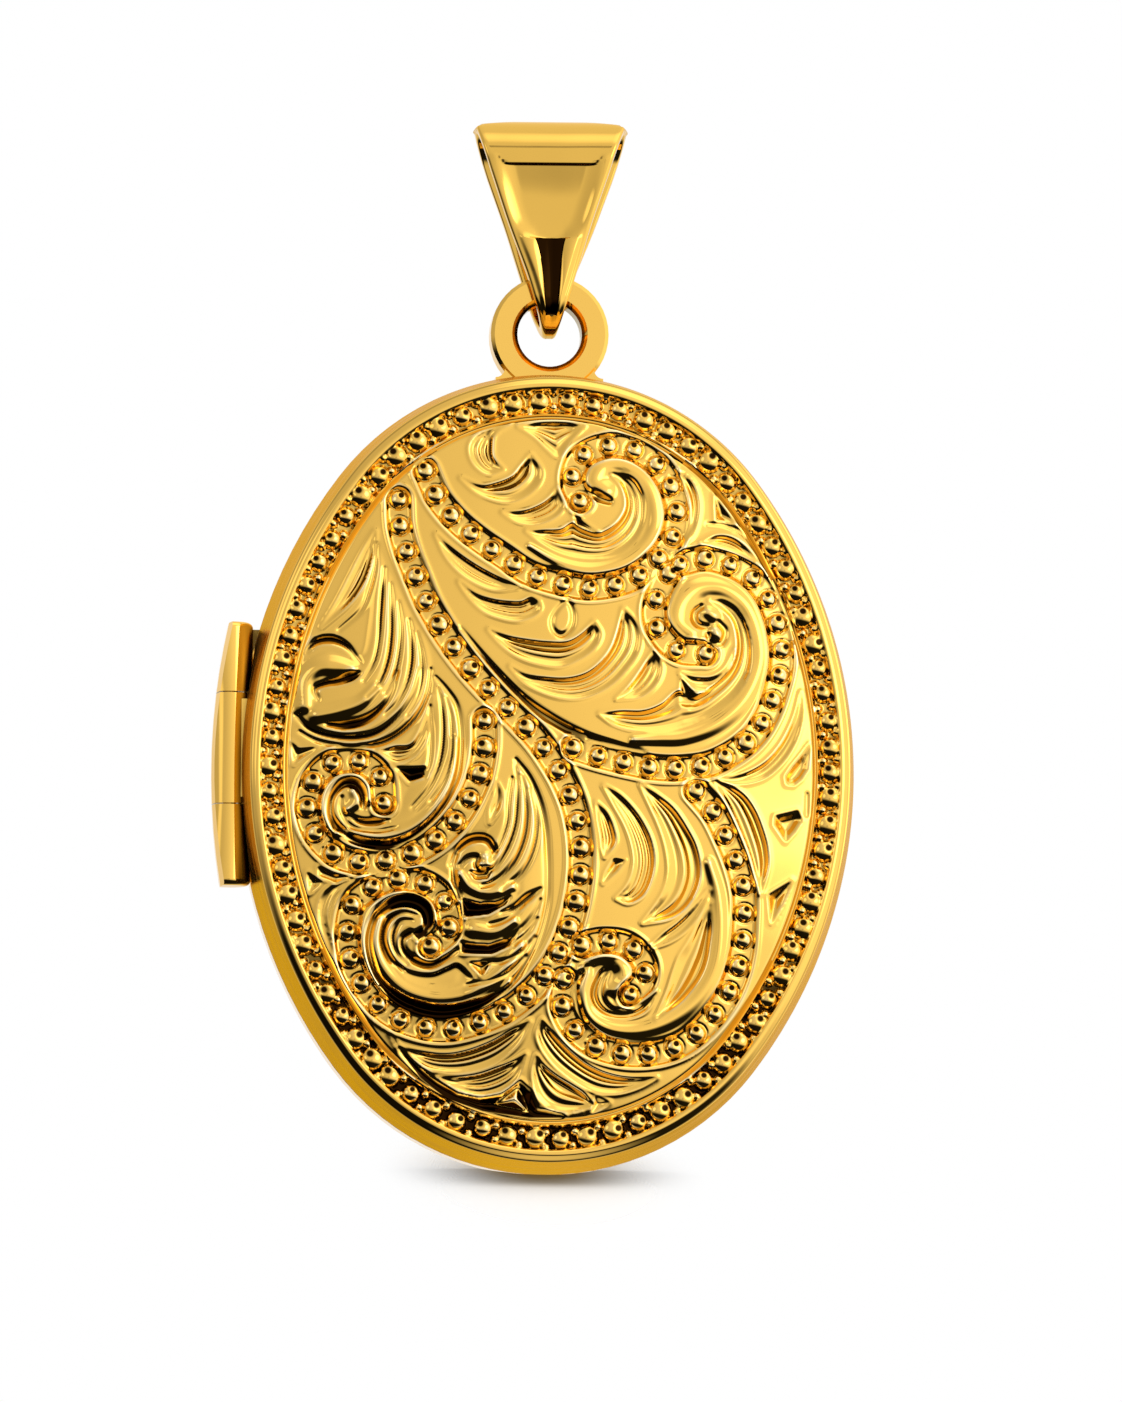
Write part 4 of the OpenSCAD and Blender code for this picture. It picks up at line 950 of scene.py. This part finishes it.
YELLOW = (0.88, 0.53, 0.105)
LOOP_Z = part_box("chain_loop")[1].z - 0.00192        # middle of the loop's hole
GOLD = gold("polished_gold", YELLOW, 0.08)
# struck and bail gold take painted shade and highlight from the mesh; the loop has painted shade
# in its hole, the hinge painted shade where its parts are close
STRUCK = gold("struck_gold", YELLOW, 0.065, recess=True)
SATIN = gold("satin_gold", (0.8, 0.5, 0.11), 0.3, edge=(0.84, 0.56, 0.2), brushed=(1, 16, 1))
LOOP = gold("loop_gold", YELLOW, 0.08, hole=(LOOP_Z, 0.00112))
HINGE = gold("hinge_gold", YELLOW, 0.08, gaps=True)
BAIL = gold("bail_gold", (0.8, 0.48, 0.09), 0.065, recess=True)
CARD = plain("photo_card", (0.92, 0.88, 0.79), 1, 3000, 0.78, 0.86)
CLEAR = plain("clear_window", (0.97, 0.98, 0.99), 0.12, 900, 0.02, 0.05)
FINISHES = (
    (HINGE, ("upper_knuckle", "middle_knuckle", "lower_knuckle")),
    (LOOP, ("chain_loop",)),
    (SATIN, ("snap_rim", "snap_bead", "back_photo_frame", "front_photo_frame")),
    (CLEAR, ("back_window", "front_window")),
    (CARD, ("back_photo_card", "front_photo_card")),
)
finish = {name: material for material, names in FINISHES for name in names}
for name, node in nodes.items():
    node.data.materials.clear()
    node.data.materials.append(finish.get(name, GOLD))

front_cover_mesh(STRUCK)
bail_mesh(BAIL)
window_mesh("front_window", "front")
window_mesh("back_window", "back")

# ------------------------------------------------------------------------------------------
# Camera, floor and light

AZ, EL, ROLL = -4.2, -5.3, 0.5          # degrees
AIM = (0.457, 2.363, 1.0)               # right of, above and in front of the case's middle, in mm
DISTANCE = 0.42
PICTURE_HEIGHT = 1402 * 0.0323 * MM     # pixels of 0.0323 mm
SENSOR = 36
az, el = math.radians(AZ), math.radians(EL)
back = Vector((math.sin(az) * math.cos(el), -math.cos(az) * math.cos(el), math.sin(el)))
right = Vector((math.cos(az), math.sin(az), 0))
up = back.cross(right)
look_at = Vector((0, SEAM_Y, CENTRE.z)) + (right * AIM[0] + up * AIM[1] + back * AIM[2]) * MM
cam_data = bpy.data.cameras.new("camera")
cam = bpy.data.objects.new("camera", cam_data)
bpy.context.scene.collection.objects.link(cam)
cam.location = look_at + back * DISTANCE
cam.rotation_mode = "QUATERNION"
level = (-back).to_track_quat("-Z", "Y").to_matrix().to_4x4()
cam.rotation_quaternion = (level @ Matrix.Rotation(math.radians(ROLL), 4, "Z")).to_quaternion()
cam_data.sensor_fit = "VERTICAL"
cam_data.sensor_height = cam_data.sensor_width = SENSOR
cam_data.lens = SENSOR * DISTANCE / PICTURE_HEIGHT
cam_data.clip_start, cam_data.clip_end = 0.02, 10
bpy.context.scene.camera = cam

# The studio: white all round for the camera; for the metal, a soft grey tent with bright
# softboxes, dark below the front.
world = bpy.data.worlds.new("studio")
bpy.context.scene.world = world
world.use_nodes = True
studio = world.node_tree
ray = add_node(studio, "ShaderNodeTexCoord").outputs["Generated"]


def across(direction, low, high, at_low, at_high):
    """Light that changes evenly along a direction."""
    dot = add_node(studio, "ShaderNodeVectorMath", {0: ray, 1: direction},
                   operation="DOT_PRODUCT").outputs["Value"]
    return map_range(studio, dot, low, high, at_low, at_high)


def toward(direction, inner, outer, strength):
    """Light from round a direction: full within the inner angle, none beyond the outer one."""
    return across(Vector(direction).normalized(), math.cos(math.radians(outer)),
                  math.cos(math.radians(inner)), 0.0, strength)


# Direction, inner and outer angle, and strength of each softbox.
SOFTBOXES = [
    ((0.62, -0.76, 0.22), 5, 22, 2.2),
    ((-0.75, -0.6, 0.3), 8, 18, 0.8),
    ((0.25, -0.35, 0.9), 10, 26, 0.7),
]
# Dark gaps: the lens, and a slot above it.
GAPS = [
    (tuple(back), 2, 10, 0.35),
    ((-0.05, -0.76, 0.65), 1, 4, 0.5),
]
light = maths(studio, "MULTIPLY", across((0.2, 0, 0.98), -0.46, -0.1, 0.01, 0.9),
              across((1, 0, 0), -0.9, 0.9, 0.7, 1.5))
for item in SOFTBOXES:
    light = maths(studio, "ADD", light, toward(*item))
for item in GAPS:
    light = maths(studio, "MULTIPLY", light, maths(studio, "SUBTRACT", 1.0, toward(*item)))
rear = across((0, 1, 0), 0.3, 0.75, 0.0, 1.0)
front_light = maths(studio, "MULTIPLY", light, maths(studio, "SUBTRACT", 1.0, rear))
rear_light = maths(studio, "MULTIPLY", rear, across((0.35, 0, 0.94), -0.35, 0.35, 0.85, 1.05))
light = maths(studio, "ADD", front_light, rear_light)
seen = add_node(studio, "ShaderNodeLightPath").outputs["Is Camera Ray"]
strength = add_node(studio, "ShaderNodeMix", {0: seen, 2: light, 3: 1.0}, data_type="FLOAT")
feed(studio.nodes["Background"], {"Color": (1, 1, 1, 1), "Strength": strength.outputs[0]})


# ------------------------------------------------------------------------------------------
# Floor: level under the locket, sloping down in front so that the low camera sees the shadow on
# it, rising behind as a paper sweep does, and fading out before its edges

def floor_mesh():
    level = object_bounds()[0].z - 0.00003      # a hair under the locket
    xs = np.linspace(-45, 45, 61) * MM
    ys = np.linspace(-40, 40, 121) * MM
    rise = np.interp(ys, np.array([-40, -1, 1.5, 40]) * MM, np.array([-12, 0, 0.35, 12]) * MM)
    verts = [(x, y, level + z) for y, z in zip(ys, rise) for x in xs]
    rows = [range(j * len(xs), (j + 1) * len(xs)) for j in range(len(ys))]
    faces = [face for one, two in zip(rows, rows[1:]) for face in bridge(one, two)[:-1]]
    mat, tree, shader = principled("floor")
    tree.nodes.remove(shader)
    # painted shadow: the paper is darker where the locket is close, from ambient occlusion
    near = add_node(tree, "ShaderNodeAmbientOcclusion", {"Distance": 0.0035}).outputs["AO"]
    paper = add_node(tree, "ShaderNodeBsdfDiffuse",
                     {"Color": map_range(tree, near, 0.1, 0.95, 0.25, 1.0)})
    # painted light: for metal, the floor behind the locket glows white and the floor in front of
    # it is dark
    y = add_node(tree, "ShaderNodeSeparateXYZ", {0: place(tree)}).outputs["Y"]
    glow = add_node(tree, "ShaderNodeEmission",
                    {"Strength": map_range(tree, y, -0.0048, -0.0035, 0.0, 0.95)})
    mirrored = add_node(tree, "ShaderNodeLightPath").outputs["Is Glossy Ray"]
    shown = add_node(tree, "ShaderNodeMixShader",
                     {0: mirrored, 1: paper.outputs[0], 2: glow.outputs[0]})
    # only its upper side shows, and it is clear away from the locket
    away = map_range(tree, distance_from(tree, (0, 0, level), (2, 1, 1)), 0.001, 0.011, 0.0, 1.0)
    under = add_node(tree, "ShaderNodeNewGeometry").outputs["Backfacing"]
    clear = add_node(tree, "ShaderNodeBsdfTransparent")
    surface = add_node(tree, "ShaderNodeMixShader", {
        0: maths(tree, "MAXIMUM", away, under), 1: shown.outputs[0], 2: clear.outputs[0]})
    feed(tree.nodes["Material Output"], {"Surface": surface.outputs[0]})
    make_object("floor", verts, faces, mat)


floor_mesh()

view = bpy.context.scene.view_settings
view.view_transform = "Standard"
